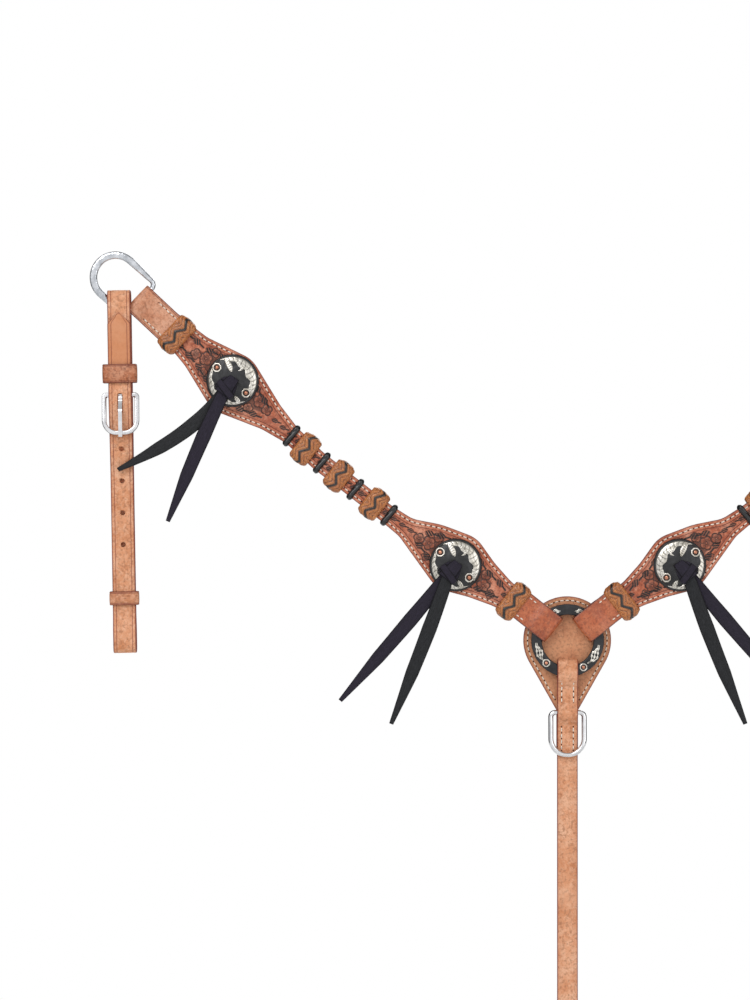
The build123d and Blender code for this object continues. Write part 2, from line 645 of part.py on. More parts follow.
def cinch_billet():
    billet, billet_radii = billet_run(CINCH_MAIN, CINCH_BAR_HEIGHT, 66)
    sewn = CINCH_MAIN + 0.5
    front = EYE_DEPTH - FOLD_REACH
    back = EYE_DEPTH + FOLD_REACH
    fold = [(sewn, EYE_BAR + 17), (front, EYE_BAR + 6), (front, EYE_BAR - 3.4), (back, EYE_BAR - 3.4),
            (back, EYE_BAR + 6), (sewn + TAB_STEP, EYE_BAR + 17), (sewn + TAB_STEP, EYE_BAR + 58)]
    route = fold[::-1] + billet
    radii = [12, 6, 3.2, 3.2, 6, 12] + billet_radii
    strap = folded_strap(Plane.YZ, route, radii, CENTRE_STRAP_WIDTH, LEATHER)
    first_hole = CINCH_BAR_HEIGHT - 42.9
    with BuildPart() as cut_strap:
        add(strap)
        add(tongue_slots(0, CINCH_MAIN, CINCH_BAR_HEIGHT, False), mode=Mode.SUBTRACT)
        add(punched_holes(0, CINCH_MAIN, [first_hole, first_hole - HOLE_PITCH]), mode=Mode.SUBTRACT)
        add(tip_trim(0, CINCH_MAIN, CINCH_BAR_HEIGHT + 66, CENTRE_STRAP_WIDTH), mode=Mode.SUBTRACT)
    return cut_strap.part


POST = 2.5                 # the eye's post, radius
POST_HEAD = 4.0
BOLT = 2.3                 # the snap's bolt, radius
BOLT_X = 6.5
BOLT_TRAVEL = 6.0
BOLT_TOP = SNAP_TOP - 12.0
BOLT_TIP = SNAP_TOP - 28.2
BORE_TOP = SNAP_TOP - 3.0
KNOB_HEIGHT = SNAP_TOP - 18.4


def snap_eye():
    """A wire eye for the billet, with a headed post that turns in the snap's neck."""
    corners = [(-11.5, EYE_BAR), (11.5, EYE_BAR), (11.5, EYE_BAR - 11), (-11.5, EYE_BAR - 11)]
    loop = wire_loop(Plane.XZ.offset(-EYE_DEPTH), corners, [3, 3, 3, 3], WIRE)
    with BuildPart() as eye:
        add(loop)
        with BuildSketch(Plane((0, EYE_DEPTH, SNAP_TOP + 4))):
            Circle(POST)
        extrude(amount=EYE_BAR - 11 - SNAP_TOP - 4)
        with BuildSketch(Plane((0, EYE_DEPTH, SNAP_TOP + 1))):
            Circle(POST_HEAD)
        extrude(amount=3)
    return eye.part


def snap_hook():
    """The hook, from the barrel round to the bolt's tip."""
    top = SNAP_TOP
    route = [(-3.5, top - 18), (-3.5, top - 24), (-12.5, top - 29), (-12.5, top - 50), (12.5, top - 50),
             (12.5, top - 34), (BOLT_X, top - 31), (BOLT_X, BOLT_TIP - LAID)]
    plane = Plane.XZ.offset(-EYE_DEPTH)
    with BuildPart() as hook:
        with BuildLine(plane) as path:
            FilletPolyline(*route, radius=[3, 5, 11, 11, 4, 2.5])
        with BuildSketch(Plane(path.line @ 0, z_dir=path.line % 0)):
            Circle(2.6)
        sweep()
    return hook.part


def snap_body():
    """Neck, spring barrel and hook in one casting."""
    middle = (BOLT_X + 4.5 - 6.5) / 2
    hook = snap_hook()
    with BuildPart() as body:
        with BuildSketch(Plane((0, EYE_DEPTH, SNAP_TOP - 1))):
            Circle(6.5)
        extrude(amount=14.5)
        fillet(body.edges().sort_by(Axis.Z)[-1], radius=1.5)
        with BuildSketch(Plane((middle, EYE_DEPTH, SNAP_TOP - 22))):
            RectangleRounded(17.5, 10, 4)
        extrude(amount=22)
        fillet(body.edges().filter_by(Plane.XY).group_by(Axis.Z)[0], radius=1.0)
        add(hook)
        with BuildSketch(Plane((0, EYE_DEPTH, SNAP_TOP + 4))):
            Circle(POST + 0.1)
        extrude(amount=10, mode=Mode.SUBTRACT)
        with BuildSketch(Plane((0, EYE_DEPTH, SNAP_TOP + 1 - GAP))):
            Circle(POST_HEAD + GAP)
        extrude(amount=3 + 2 * GAP, mode=Mode.SUBTRACT)
        with BuildSketch(Plane((BOLT_X, EYE_DEPTH, SNAP_TOP - 23))):
            Circle(BOLT + 0.1)
        extrude(amount=BORE_TOP - SNAP_TOP + 23, mode=Mode.SUBTRACT)
        with BuildSketch(front_plane(BOLT_X, EYE_DEPTH, KNOB_HEIGHT + BOLT_TRAVEL / 2)):
            SlotOverall(BOLT_TRAVEL + 3.4, 3.2, rotation=90)
        extrude(amount=8, mode=Mode.SUBTRACT)
    return body.part


def snap_bolt():
    """The sliding bolt with its thumb knob."""
    with BuildPart() as bolt:
        with BuildSketch(Plane((BOLT_X, EYE_DEPTH, BOLT_TIP))):
            Circle(BOLT)
        extrude(amount=BOLT_TOP - BOLT_TIP)
        with BuildSketch(front_plane(BOLT_X, EYE_DEPTH, KNOB_HEIGHT)):
            Circle(1.3)
        extrude(amount=6.5)
        with BuildSketch(front_plane(BOLT_X, EYE_DEPTH - 5.4, KNOB_HEIGHT)):
            Circle(3.0)
        extrude(amount=2.6)
    return bolt.part


def snap_spring():
    """A compression spring between the bolt and the barrel's top, as a tube."""
    with BuildPart() as spring:
        with BuildSketch(Plane((BOLT_X, EYE_DEPTH, BOLT_TOP + 0.05))):
            Circle(BOLT - 0.1)
            Circle(BOLT - 0.9, mode=Mode.SUBTRACT)
        extrude(amount=BORE_TOP - BOLT_TOP - 0.1)
    return spring.part


def save_centre():
    save(yoke_layer(0, YOKE_LINING_FRONT), "yoke_lining")
    save(yoke_layer(YOKE_LINING_FRONT, YOKE_FRONT), "yoke_face")
    save(centre_ring(), "centre_ring")
    save(ring_ornaments(), "ring_ornaments")
    strap_top, strap_run = centre_strap()
    save(strap_top, "centre_strap_top")
    save(strap_run, "centre_strap")
    save(tie_down_dee(), "tie_down_dee")
    width = CENTRE_STRAP_WIDTH
    save(buckle_frame(0, CINCH_MAIN, CINCH_BAR_HEIGHT, width), "cinch_buckle")
    save(buckle_tongue(0, CINCH_MAIN, CINCH_BAR_HEIGHT), "cinch_tongue")
    fixed = keeper(0, CINCH_MAIN, CINCH_BAR_HEIGHT + 16, width + 3, 3 * TAB_STEP + 0.6, 1.9, 13)
    save(fixed, "cinch_keeper")
    middle = CINCH_MAIN - TAB_STEP / 2
    loose = keeper(0, middle, CINCH_BAR_HEIGHT + 49, width + 1, 2 * TAB_STEP + 0.6, 1.9, 11)
    save(loose, "cinch_loose_keeper")
    save(cinch_billet(), "cinch_billet")
    save(snap_eye(), "snap_eye")
    save(snap_body(), "snap_body")
    save(snap_bolt(), "snap_bolt")
    save(snap_spring(), "snap_spring")


def save_arms():
    """Each arm with the bands that grip it."""
    ring_loop = ring_end_loop()
    shoulder_loop = shoulder_end_loop()
    lining = arm_layer(ARM_BACK, ARM_LINING_FRONT, RING_LOOP_END, SHOULDER_LOOP_END)
    face = arm_layer(ARM_LINING_FRONT, ARM_FRONT, FACE_RING_END, FACE_SHOULDER_END)
    arm_pieces = [face, lining, ring_loop, shoulder_loop]
    save_pair(lining, "arm_lining")
    save_pair(face, "arm_face")
    save_pair(ring_loop, "ring_loop")
    save_pair(shoulder_loop, "shoulder_loop")
    shoulder_knot, neck_knots, ring_knot = rawhide_knots(arm_pieces)
    save_pair(shoulder_knot, "shoulder_knot")
    save_pair(neck_knots, "neck_knots")
    save_pair(ring_knot, "ring_knot")
    save_pair(black_wraps(arm_pieces), "black_wraps")
    save_pair(shoulder_ring(), "shoulder_ring")


# name, place along and across the arm, knot's turn, and each tail's length and heading
CONCHOS = [
    ("outer", 338.1, -3.0, -38, [(107, 217), (115, 246.5)]),
    ("inner", 107.4, -8.2, -40, [(133, 229.5), (128, 249)]),
]


def save_conchos():
    scale = ARM_REACH / STATION_REACH
    for name, along, across, turn, tails in CONCHOS:
        centre = arm_plane(0).from_local_coords((along * scale, across, 0))
        save_pair(concho(centre, turn), f"{name}_concho")
        save_pair(string_knot(centre, turn), f"{name}_string_knot")
        for number, depth in enumerate((BACK_TAIL, FRONT_TAIL), start=1):
            length, heading = tails[number - 1]
            save_pair(string_tail(centre, turn, depth, length, heading), f"{name}_tail_{number}")


save_centre()
save_arms()
save_conchos()
save_tug()
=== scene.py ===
import json
import math

import bpy
import numpy as np
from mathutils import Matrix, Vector


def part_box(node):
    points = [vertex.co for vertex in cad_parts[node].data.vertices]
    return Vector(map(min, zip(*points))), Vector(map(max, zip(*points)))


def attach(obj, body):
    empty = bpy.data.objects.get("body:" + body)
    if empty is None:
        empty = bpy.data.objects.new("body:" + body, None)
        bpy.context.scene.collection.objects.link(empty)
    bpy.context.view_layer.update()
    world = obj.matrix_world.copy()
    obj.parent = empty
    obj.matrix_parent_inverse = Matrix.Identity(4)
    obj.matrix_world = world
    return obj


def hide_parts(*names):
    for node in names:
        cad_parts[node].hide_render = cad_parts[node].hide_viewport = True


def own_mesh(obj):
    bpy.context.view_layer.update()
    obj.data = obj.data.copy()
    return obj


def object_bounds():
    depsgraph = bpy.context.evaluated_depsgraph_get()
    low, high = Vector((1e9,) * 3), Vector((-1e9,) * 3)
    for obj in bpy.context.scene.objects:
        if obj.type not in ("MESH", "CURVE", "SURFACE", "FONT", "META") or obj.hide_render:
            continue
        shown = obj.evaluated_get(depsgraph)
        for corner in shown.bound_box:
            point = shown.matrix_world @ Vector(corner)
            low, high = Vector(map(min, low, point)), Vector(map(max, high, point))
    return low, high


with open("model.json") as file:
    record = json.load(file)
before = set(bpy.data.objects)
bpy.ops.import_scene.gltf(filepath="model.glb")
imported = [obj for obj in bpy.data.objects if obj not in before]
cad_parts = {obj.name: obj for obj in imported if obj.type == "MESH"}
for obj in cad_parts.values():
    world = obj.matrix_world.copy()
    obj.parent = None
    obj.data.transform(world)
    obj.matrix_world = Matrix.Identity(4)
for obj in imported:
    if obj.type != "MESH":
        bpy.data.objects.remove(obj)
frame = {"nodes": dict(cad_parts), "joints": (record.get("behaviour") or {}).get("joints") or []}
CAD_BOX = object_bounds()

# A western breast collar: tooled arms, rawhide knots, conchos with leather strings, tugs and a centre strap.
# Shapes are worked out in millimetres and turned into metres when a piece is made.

MM = 0.001
JOINTS = {joint["name"]: joint for joint in frame["joints"]}
FRONT = np.array((0.0, -1.0, 0.0))


def node_box(node):
    """A CAD node's lowest and highest corners."""
    low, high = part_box(node)
    return np.array(low) / MM, np.array(high) / MM


def joint_point(name):
    return np.array(JOINTS[name]["pos_m"]) / MM


# ---------------------------------------------------------------- materials

class Shader:
    """A Principled material and short ways to feed it."""

    def __init__(self, name, **settings):
        self.material = bpy.data.materials.new(name)
        self.material.use_nodes = True
        self.nodes, self.links = self.material.node_tree.nodes, self.material.node_tree.links
        self.nodes.clear()
        self.shader = self.add("BsdfPrincipled", {})
        self.add("OutputMaterial", {0: self.shader.outputs[0]})
        self.coords = self.add("TexCoord", {}).outputs["Object"]
        for key, amount in settings.items():
            label = key.replace("_", " ").title().replace("Ior", "IOR")
            self.shader.inputs[label].default_value = amount

    def add(self, kind, inputs, **settings):
        """A new node; each input is a link from another node or a fixed value."""
        node = self.nodes.new(f"ShaderNode{kind}")
        for key, amount in settings.items():
            setattr(node, key, amount)
        for label, source in inputs.items():
            if isinstance(source, bpy.types.NodeSocket):
                self.links.new(source, node.inputs[label])
            else:
                node.inputs[label].default_value = source
        return node

    def attribute(self, name, part="Fac"):
        return self.add("Attribute", {}, attribute_name=name).outputs[part]

    def scaled(self, vector, scale):
        return self.add("VectorMath", {0: vector, 1: scale}, operation="MULTIPLY").outputs[0]

    def noise(self, scale, detail=3, vector=None, distortion=0.0):
        inputs = {"Vector": vector or self.coords, "Scale": scale, "Detail": detail,
                  "Distortion": distortion, "Roughness": 0.55}
        return self.add("TexNoise", inputs).outputs["Fac"]

    def cells(self, scale):
        return self.add("TexVoronoi", {"Vector": self.coords, "Scale": scale}).outputs["Distance"]

    def span(self, source, *limits):
        """source, taken from between two limits to between two others."""
        return self.add("MapRange", dict(enumerate((source, *limits)))).outputs[0]

    def ramp(self, source, *colours):
        node = self.add("ValToRGB", {0: source})
        stops = node.color_ramp.elements
        stops[0].position, stops[1].position = 0.3, 0.7
        stops[0].color, stops[1].color = (*colours[0], 1), (*colours[-1], 1)
        for index, colour in enumerate(colours[1:-1], start=1):
            stops.new(0.3 + 0.4 * index / (len(colours) - 1)).color = (*colour, 1)
        return node.outputs[0]

    def mix(self, factor, first, second):
        return self.add("Mix", {"Factor": factor, 6: first, 7: (*second, 1)}, data_type="RGBA").outputs[2]

    def flecked(self, tone, source, low, high, share, colour):
        """tone, with up to that share of a colour where source rises from low to high."""
        return self.mix(self.span(source, low, high, 0, share), tone, colour)

    def marked(self, tone, **marks):
        """tone, with a colour wherever the mesh's own attribute says so."""
        for name, colour in marks.items():
            tone = self.mix(self.attribute(name), tone, colour)
        return tone

    def finish(self, tone, source, smooth, rough, *bumps):
        """Sets colour, roughness and (height, distance in metres, strength) bumps."""
        self.links.new(tone, self.shader.inputs["Base Color"])
        self.links.new(self.span(source, 0.3, 0.7, smooth, rough), self.shader.inputs["Roughness"])
        before = {}
        for height, distance, strength in bumps:
            node = self.add("Bump", {"Distance": distance, "Strength": strength, "Height": height, **before})
            before = {"Normal": node.outputs[0]}
        self.links.new(before["Normal"], self.shader.inputs["Normal"])
        return self.material


def rgb(*channels):
    """An sRGB colour in linear light."""
    shares = [channel / 255 for channel in channels]
    return tuple(share / 12.92 if share <= 0.04045 else ((share + 0.055) / 1.055) ** 2.4 for share in shares)


def leather(name, dark, middle, light, edge, roughness=0.46, coat=0.0, grain=1.0):
    """Oiled skirting leather: blotchy tan, burnished edges, fine pores and a few creases."""
    shader = Shader(name, coat_weight=coat, coat_roughness=0.35, specular_ior_level=0.45)
    noise = shader.noise
    deep = tuple(channel * 0.55 for channel in dark)
    scuffs = noise(170, 5, shader.scaled(shader.coords, (2.2, 1, 0.7)), 1.2)
    stretched = noise(14, 3, shader.scaled(shader.coords, (1, 1, 3)))
    tone = shader.ramp(noise(55, 4, distortion=0.4), dark, middle, light)
    tone = shader.flecked(tone, noise(800, 4, distortion=0.5), 0.46, 0.72, 0.75, dark)
    tone = shader.flecked(tone, noise(300, 4, distortion=0.6), 0.48, 0.66, 0.6, light)
    tone = shader.flecked(tone, noise(460, 2), 0.5, 0.68, 0.6, deep)
    tone = shader.flecked(tone, scuffs, 0.58, 0.72, 0.45 * grain, deep)
    tone = shader.marked(tone, tan=dark)
    tone = shader.flecked(tone, stretched, 0.5, 0.8, 0.35, light)
    tone = shader.marked(tone, crease=edge, cut=rgb(92, 34, 22), dye=rgb(12, 7, 7), edge=edge)
    return shader.finish(tone, noise(120, 3), roughness - 0.08, roughness + 0.12,
                         (shader.cells(1500), 0.00016, 0.45 * grain),
                         (noise(420, 4, distortion=0.8), 0.0006, 0.5 * grain), (noise(60, 2), 0.0016, 0.3))


def flesh_leather():
    """The lining's rough, unfinished back."""
    shader = Shader("lining_leather", specular_ior_level=0.25)
    fibres = shader.noise(1300, 4, distortion=1.2)
    tone = shader.ramp(shader.noise(45, 5), rgb(168, 112, 78), rgb(196, 140, 100), rgb(212, 160, 120))
    tone = shader.flecked(tone, fibres, 0.4, 0.75, 0.4, rgb(140, 86, 56))
    tone = shader.marked(tone, edge=rgb(112, 48, 34))
    return shader.finish(tone, fibres, 0.7, 0.95, (fibres, 0.0004, 0.5), (shader.noise(150, 3), 0.0006, 0.3))


def string_leather(name, dark, light, grain, roughness):
    """Black string leather, with its grain drawn out along the string."""
    shader = Shader(name, specular_ior_level=0.18)
    streaks = shader.noise(2.2, 5, shader.scaled(shader.attribute("lay", "Vector"), (0.12, 1.0, 1.0)), 0.6)
    nap = shader.noise(1700, 3)
    tone = shader.flecked(shader.ramp(streaks, dark, light), nap, 0.4, 0.8, 0.5, light)
    tone = shader.marked(tone, edge=rgb(16, 15, 18))
    return shader.finish(tone, streaks, roughness - 0.1, roughness + 0.12, (streaks, 0.0003, grain),
                         (nap, 0.0002, 0.25), (shader.cells(700), 0.0002, 0.5 * grain))


def rawhide():
    """Varnished rawhide strands, with fibres along each strand and dark brown painted shade in the gaps
    between strands.
    """
    shader = Shader("rawhide", coat_weight=0.35, coat_roughness=0.12, specular_ior_level=0.5)
    lay = shader.attribute("lay", "Vector")
    fibres = shader.noise(1.6, 5, shader.scaled(lay, (0.16, 2.4, 1)), 0.5)
    hairs_and_highlights = shader.noise(2.6, 3, shader.scaled(lay, (0.22, 3.6, 1)), 0.3)
    tone = shader.ramp(fibres, rgb(112, 52, 14), rgb(188, 106, 42), rgb(230, 164, 100))
    # Pale hairs along the strands, which also stand in as painted highlights.
    tone = shader.flecked(tone, hairs_and_highlights, 0.6, 0.72, 0.7, rgb(236, 204, 168))
    tone = shader.flecked(tone, shader.noise(120, 3), 0.45, 0.7, 0.45, rgb(150, 80, 44))
    # The cut mark here is painted shade, dark brown, in the gaps between strands and where they cross.
    tone = shader.marked(tone, cut=rgb(58, 24, 8), dye=rgb(9, 9, 10))
    return shader.finish(tone, fibres, 0.28, 0.5, (fibres, 0.0007, 0.7), (shader.noise(900, 3), 0.0002, 0.25))


def black_rawhide():
    shader = Shader("black_rawhide", coat_weight=0.3, coat_roughness=0.16, specular_ior_level=0.4)
    fibres = shader.noise(1.4, 4, shader.scaled(shader.attribute("lay", "Vector"), (0.2, 2.0, 1)))
    # The cut mark here is painted shade in the grooves between the wrap's turns.
    tone = shader.marked(shader.ramp(fibres, rgb(9, 10, 11), rgb(32, 34, 37)), cut=rgb(6, 6, 8))
    return shader.finish(tone, fibres, 0.22, 0.42, (fibres, 0.0003, 0.35))


def waxed_thread(name, dark, light):
    shader = Shader(name, specular_ior_level=0.4)
    tone = shader.ramp(shader.noise(1800, 2), dark, light)
    return shader.finish(tone, shader.noise(700, 2), 0.5, 0.75, (shader.noise(3000, 2), 0.0001, 0.4))


def metal(name, dark, light, roughness, scratch, metallic=1.0, dent=0.0, grain=900):
    """Cast or plated metal: uneven polish, fine scratches, and a dark colour where a piece is marked cut:
    tarnish in engraving and grooves, and painted shade in the concho's slot.
    """
    shader = Shader(name, metallic=metallic)
    tone = shader.marked(shader.ramp(shader.noise(160, 4), dark, light), cut=rgb(38, 33, 28))
    scratches = shader.noise(grain, 3, shader.scaled(shader.coords, (1, 0.2, 3)))
    bumps = [(scratches, 0.00004, 0.12)]
    if dent:
        bumps += [(shader.cells(520), 0.0006, dent), (shader.noise(1500, 2), 0.0002, dent)]
    return shader.finish(tone, scratches, roughness - 0.06, roughness + scratch, *bumps)


TAN_EDGE = rgb(128, 52, 36)
TOOLED = leather("tooled_leather", rgb(150, 68, 40), rgb(190, 104, 70), rgb(216, 150, 122), rgb(112, 40, 28))
PLAIN = leather("plain_leather", rgb(202, 130, 86), rgb(222, 156, 116), rgb(234, 182, 148), TAN_EDGE)
YOKE = leather("yoke_leather", rgb(184, 118, 80), rgb(202, 138, 98), rgb(216, 156, 116), TAN_EDGE, grain=0.6)
LOOPS = leather("loop_leather", rgb(150, 68, 32), rgb(180, 90, 48), rgb(198, 116, 76), rgb(98, 38, 24),
                roughness=0.32, coat=0.4)
SHOULDER_LOOPS = leather("shoulder_loop_leather", rgb(182, 112, 76), rgb(204, 140, 106), rgb(218, 164, 134),
                         rgb(116, 46, 30), roughness=0.42)
KEEPER = leather("keeper_leather", rgb(138, 70, 36), rgb(178, 106, 68), rgb(206, 146, 114), rgb(110, 46, 28),
                 roughness=0.4)
LOOSE_KEEPER = leather("loose_keeper_leather", rgb(176, 104, 64), rgb(204, 138, 98), rgb(222, 166, 134),
                       rgb(120, 52, 34), roughness=0.42)
FLESH = flesh_leather()
SMOOTH_STRING = string_leather("string_leather", rgb(24, 21, 29), rgb(50, 45, 58), 0.3, 0.74)
GRAINED_STRING = string_leather("string_grain_leather", rgb(9, 9, 10), rgb(46, 47, 50), 0.9, 0.48)
RAWHIDE = rawhide()
BLACK_RAWHIDE = black_rawhide()
THREAD = waxed_thread("thread", rgb(206, 190, 172), rgb(248, 240, 228))
# Dark discs at the awl holes: painted shade of the holes.
AWL_HOLE_SHADE = waxed_thread("awl_hole", rgb(34, 14, 10), rgb(66, 28, 20))
STEEL = metal("polished_steel", (0.58, 0.58, 0.6), (0.78, 0.78, 0.79), 0.1, 0.06, grain=160)
HAMMERED = metal("hammered_silver", (0.36, 0.38, 0.41), (0.74, 0.76, 0.8), 0.16, 0.12, dent=0.3)
SILVER = metal("engraved_silver", (0.42, 0.39, 0.33), (0.84, 0.81, 0.75), 0.24, 0.12)
COPPER = metal("copper", rgb(168, 108, 84), rgb(214, 158, 132), 0.28, 0.12)
BLACK_METAL = metal("black_metal", (0.010, 0.010, 0.011), (0.034, 0.034, 0.037), 0.34, 0.18, metallic=0.3)


# ---------------------------------------------------------------- camera, light and floor

VIEW_CENTRE = (-0.1536, 0.112)      # X and Z of the view's middle, in metres
VIEW_HEIGHT = 0.8                   # what the view takes in from top to bottom
LENS, SENSOR = 135, 36
LIGHTS = (("key", (-1.3, -2.0, 1.9), 1.6, 34), ("fill", (1.8, -1.6, 0.5), 1.8, 11),
          ("back", (0.6, 2.2, 1.6), 1.8, 22))
LIGHT_AIM = Vector((0, 0, 0.05))
FLOOR_RADIUS = 2.2
FLOOR_DROP = 0.012


def turns(count):
    """Evenly spaced angles, once round."""
    return np.linspace(0, 2 * math.pi, count + 1)[:-1]


def linked(name, data):
    made = bpy.data.objects.new(name, data)
    bpy.context.scene.collection.objects.link(made)
    return made


def make_camera():
    data = bpy.data.cameras.new("camera")
    data.lens, data.sensor_width = LENS, SENSOR
    camera = linked("camera", data)
    camera.location = (VIEW_CENTRE[0], -VIEW_HEIGHT * LENS / SENSOR, VIEW_CENTRE[1])
    camera.rotation_euler = (math.pi / 2, 0, 0)
    bpy.context.scene.camera = camera
    bpy.context.scene.view_settings.view_transform = "Standard"


def make_lights():
    for name, place, size, power in LIGHTS:
        data = bpy.data.lights.new(name, "AREA")
        data.size, data.energy = size, power
        light = linked(name, data)
        light.location = place
        light.rotation_euler = (LIGHT_AIM - Vector(place)).to_track_quat("-Z", "Y").to_euler()


def make_world():
    """White behind the object, a soft light on it, and a bright front for its metal to mirror."""
    world = bpy.data.worlds.new("studio")
    world.use_nodes = True
    bpy.context.scene.world = world
    world.node_tree.nodes.clear()
    kinds = {"output": "OutputWorld", "mix": "MixShader", "glossy": "MixShader", "seen": "Background",
             "lighting": "Background", "mirrored": "Background", "path": "LightPath", "direction": "TexCoord",
             "parts": "SeparateXYZ", "fade": "MapRange"}
    node = {name: world.node_tree.nodes.new(f"ShaderNode{kind}") for name, kind in kinds.items()}
    node["seen"].inputs[0].default_value = (1, 1, 1, 1)
    node["lighting"].inputs[0].default_value = (0.97, 0.985, 1, 1)
    node["lighting"].inputs[1].default_value = 0.62
    for index, amount in enumerate((-0.85, 0.1, 1.3, 0.05), start=1):
        node["fade"].inputs[index].default_value = amount
    for start, output, end, entry in (
            ("direction", "Generated", "parts", 0), ("parts", "Y", "fade", 0), ("fade", 0, "mirrored", 1),
            ("path", "Is Glossy Ray", "glossy", 0), ("lighting", 0, "glossy", 1),
            ("mirrored", 0, "glossy", 2), ("path", "Is Camera Ray", "mix", 0), ("glossy", 0, "mix", 1),
            ("seen", 0, "mix", 2), ("mix", 0, "output", 0)):
        world.node_tree.links.new(node[start].outputs[output], node[end].inputs[entry])


def make_floor():
    level = CAD_BOX[0].z - FLOOR_DROP
    rim = [(FLOOR_RADIUS * math.cos(a), FLOOR_RADIUS * math.sin(a), level) for a in turns(95)]
    mesh = bpy.data.meshes.new("floor")
    mesh.from_pydata(rim, [], [list(range(len(rim)))])
    shader = Shader("floor", roughness=0.9)
    tone = shader.ramp(shader.noise(6, 3), (0.86, 0.86, 0.85), (0.9, 0.9, 0.89))
    shader.links.new(tone, shader.shader.inputs["Base Color"])
    mesh.materials.append(shader.material)
    linked("floor", mesh)


# ---------------------------------------------------------------- shapes

class Shape:
    """Points, faces, and values kept at each point."""

    def __init__(self, points, faces, **values):
        self.points, self.faces = np.asarray(points, float), faces
        self.values = {key: np.asarray(value, float) for key, value in values.items()}

    def stretched(self, x, y, z):
        return Shape(self.points * (x, y, z), self.faces, **self.values)

    def moved(self, place):
        return Shape(self.points + place, self.faces, **self.values)

    def mirrored(self):
        return Shape(self.points * (-1, 1, 1), [face[::-1] for face in self.faces], **self.values)


def joined(shapes):
    faces, start = [], 0
    values = {key: [] for shape in shapes for key in shape.values}
    for shape in shapes:
        faces += [tuple(i + start for i in face) for face in shape.faces]
        start += len(shape.points)
        for key, kept in values.items():
            blank = np.zeros((len(shape.points), 3) if key == "lay" else len(shape.points))
            kept.append(shape.values.get(key, blank))
    return Shape(np.vstack([shape.points for shape in shapes]), faces,
                 **{key: np.concatenate(kept) for key, kept in values.items()})


def xyz(x, y, z):
    """Points from three coordinates, each of them an array or one number."""
    return np.stack(np.broadcast_arrays(x, y, z), axis=-1)


def polar(radius, angle):
    return np.stack([radius * np.cos(angle), radius * np.sin(angle)], axis=-1)


def solid(points, ring=False, **values):
    """A closed shape through rows of points: capped at both ends, or joined up as a ring."""
    rows, columns = points.shape[:2]
    faces = []
    for i in range(rows if ring else rows - 1):
        for j in range(columns):
            beside, below = (j + 1) % columns, (i + 1) % rows * columns
            faces.append((i * columns + j, i * columns + beside, below + beside, below + j))
    if not ring:
        faces += [tuple(range(columns))[::-1], tuple(range((rows - 1) * columns, rows * columns))]
    points = points.reshape(-1, 3)
    centred = points - points.mean(axis=0)
    triangles = np.array([(face[0], face[k], face[k + 1]) for face in faces for k in range(1, len(face) - 1)])
    first, second, third = (centred[triangles[:, k]] for k in range(3))
    if (first * np.cross(second, third)).sum() < 0:
        faces = [face[::-1] for face in faces]
    values = {key: value.reshape(-1, 3) if key == "lay" else value.ravel() for key, value in values.items()}
    return Shape(points, faces, **values)


def piece(name, shape, material, body, slot, nodes=None):
    """A visible piece on a body. It replaces the CAD nodes it is given, or else its namesake."""
    mesh = bpy.data.meshes.new(f"{name}_shape")
    mesh.from_pydata((shape.points * MM).tolist(), [], shape.faces)
    mesh.polygons.foreach_set("use_smooth", [True] * len(mesh.polygons))
    for key, value in shape.values.items():
        kind, field = ("FLOAT_VECTOR", "vector") if value.ndim == 2 else ("FLOAT", "value")
        mesh.attributes.new(key, kind, "POINT").data.foreach_set(field, value.astype(np.float32).ravel())
    mesh.materials.append(material)
    made = linked(f"{name}_shape", mesh)
    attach(made, body)
    nodes = nodes or [name] * (name in frame["nodes"])
    if nodes:
        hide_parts(*nodes)
    return made


def pair(name, shape, material, body, slot):
    """A piece of the left half and its mirror image on the right."""
    return [piece(f"{side}_{name}", form, material, f"{side}_{body}", slot)
            for side, form in (("left", shape), ("right", shape.mirrored()))]


def rounded_path(corners, radii, step=1.6, closed=False):
    """Points along straight runs joined by tangent arcs."""
    corners = [np.array(corner, float) for corner in corners]
    count = len(corners)
    stops = [] if closed else [corners[0]]
    for i in range(count) if closed else range(1, count - 1):
        radius = radii[i] if closed else radii[i - 1]
        before, here, after = corners[i - 1], corners[i], corners[(i + 1) % count]
        back = (before - here) / np.linalg.norm(before - here)
        ahead = (after - here) / np.linalg.norm(after - here)
        turn = math.pi - math.acos(max(-1.0, min(1.0, float(back @ ahead))))
        reach = radius * math.tan(turn / 2)
        if turn < 1e-3 or reach < 1e-3:
            stops.append(here)
            continue
        start, end = here + back * reach, here + ahead * reach
        centre = here + (back + ahead) / np.linalg.norm(back + ahead) * radius / math.cos(turn / 2)
        pieces = max(3, int(math.degrees(turn) / 9))
        for k in range(pieces + 1):
            chord = start + (end - start) * (math.sin((k / pieces - 0.5) * turn) / math.sin(turn / 2) + 1) / 2
            out = chord - centre
            stops.append(centre + out / np.linalg.norm(out) * radius)
    stops.append(stops[0] if closed else corners[-1])
    dense = [stops[0]]
    for first, second in zip(stops, stops[1:]):
        parts = max(1, int(math.ceil(np.linalg.norm(second - first) / step)))
        dense += [first + (second - first) * k / parts for k in range(1, parts + 1)]
    path = np.array(dense)
    path = path[np.r_[True, np.linalg.norm(np.diff(path, axis=0), axis=1) > 1e-4]]
    return path[:-1] if closed else path


def rounded_box(width, height, corner, step):
    x, y = width / 2, height / 2
    return rounded_path([(x, y), (-x, y), (-x, -y), (x, -y)], [corner] * 4, step, closed=True)


def curve(chosen, count):
    """A smooth run of points through a few chosen ones."""
    chosen = np.array(chosen, float)
    stops, share = np.linspace(0, 1, len(chosen)), np.linspace(0, 1, count)
    fits = [np.polyfit(stops, line, len(chosen) - 1) for line in chosen.T]
    return np.stack([np.polyval(fit, share) for fit in fits], axis=1)


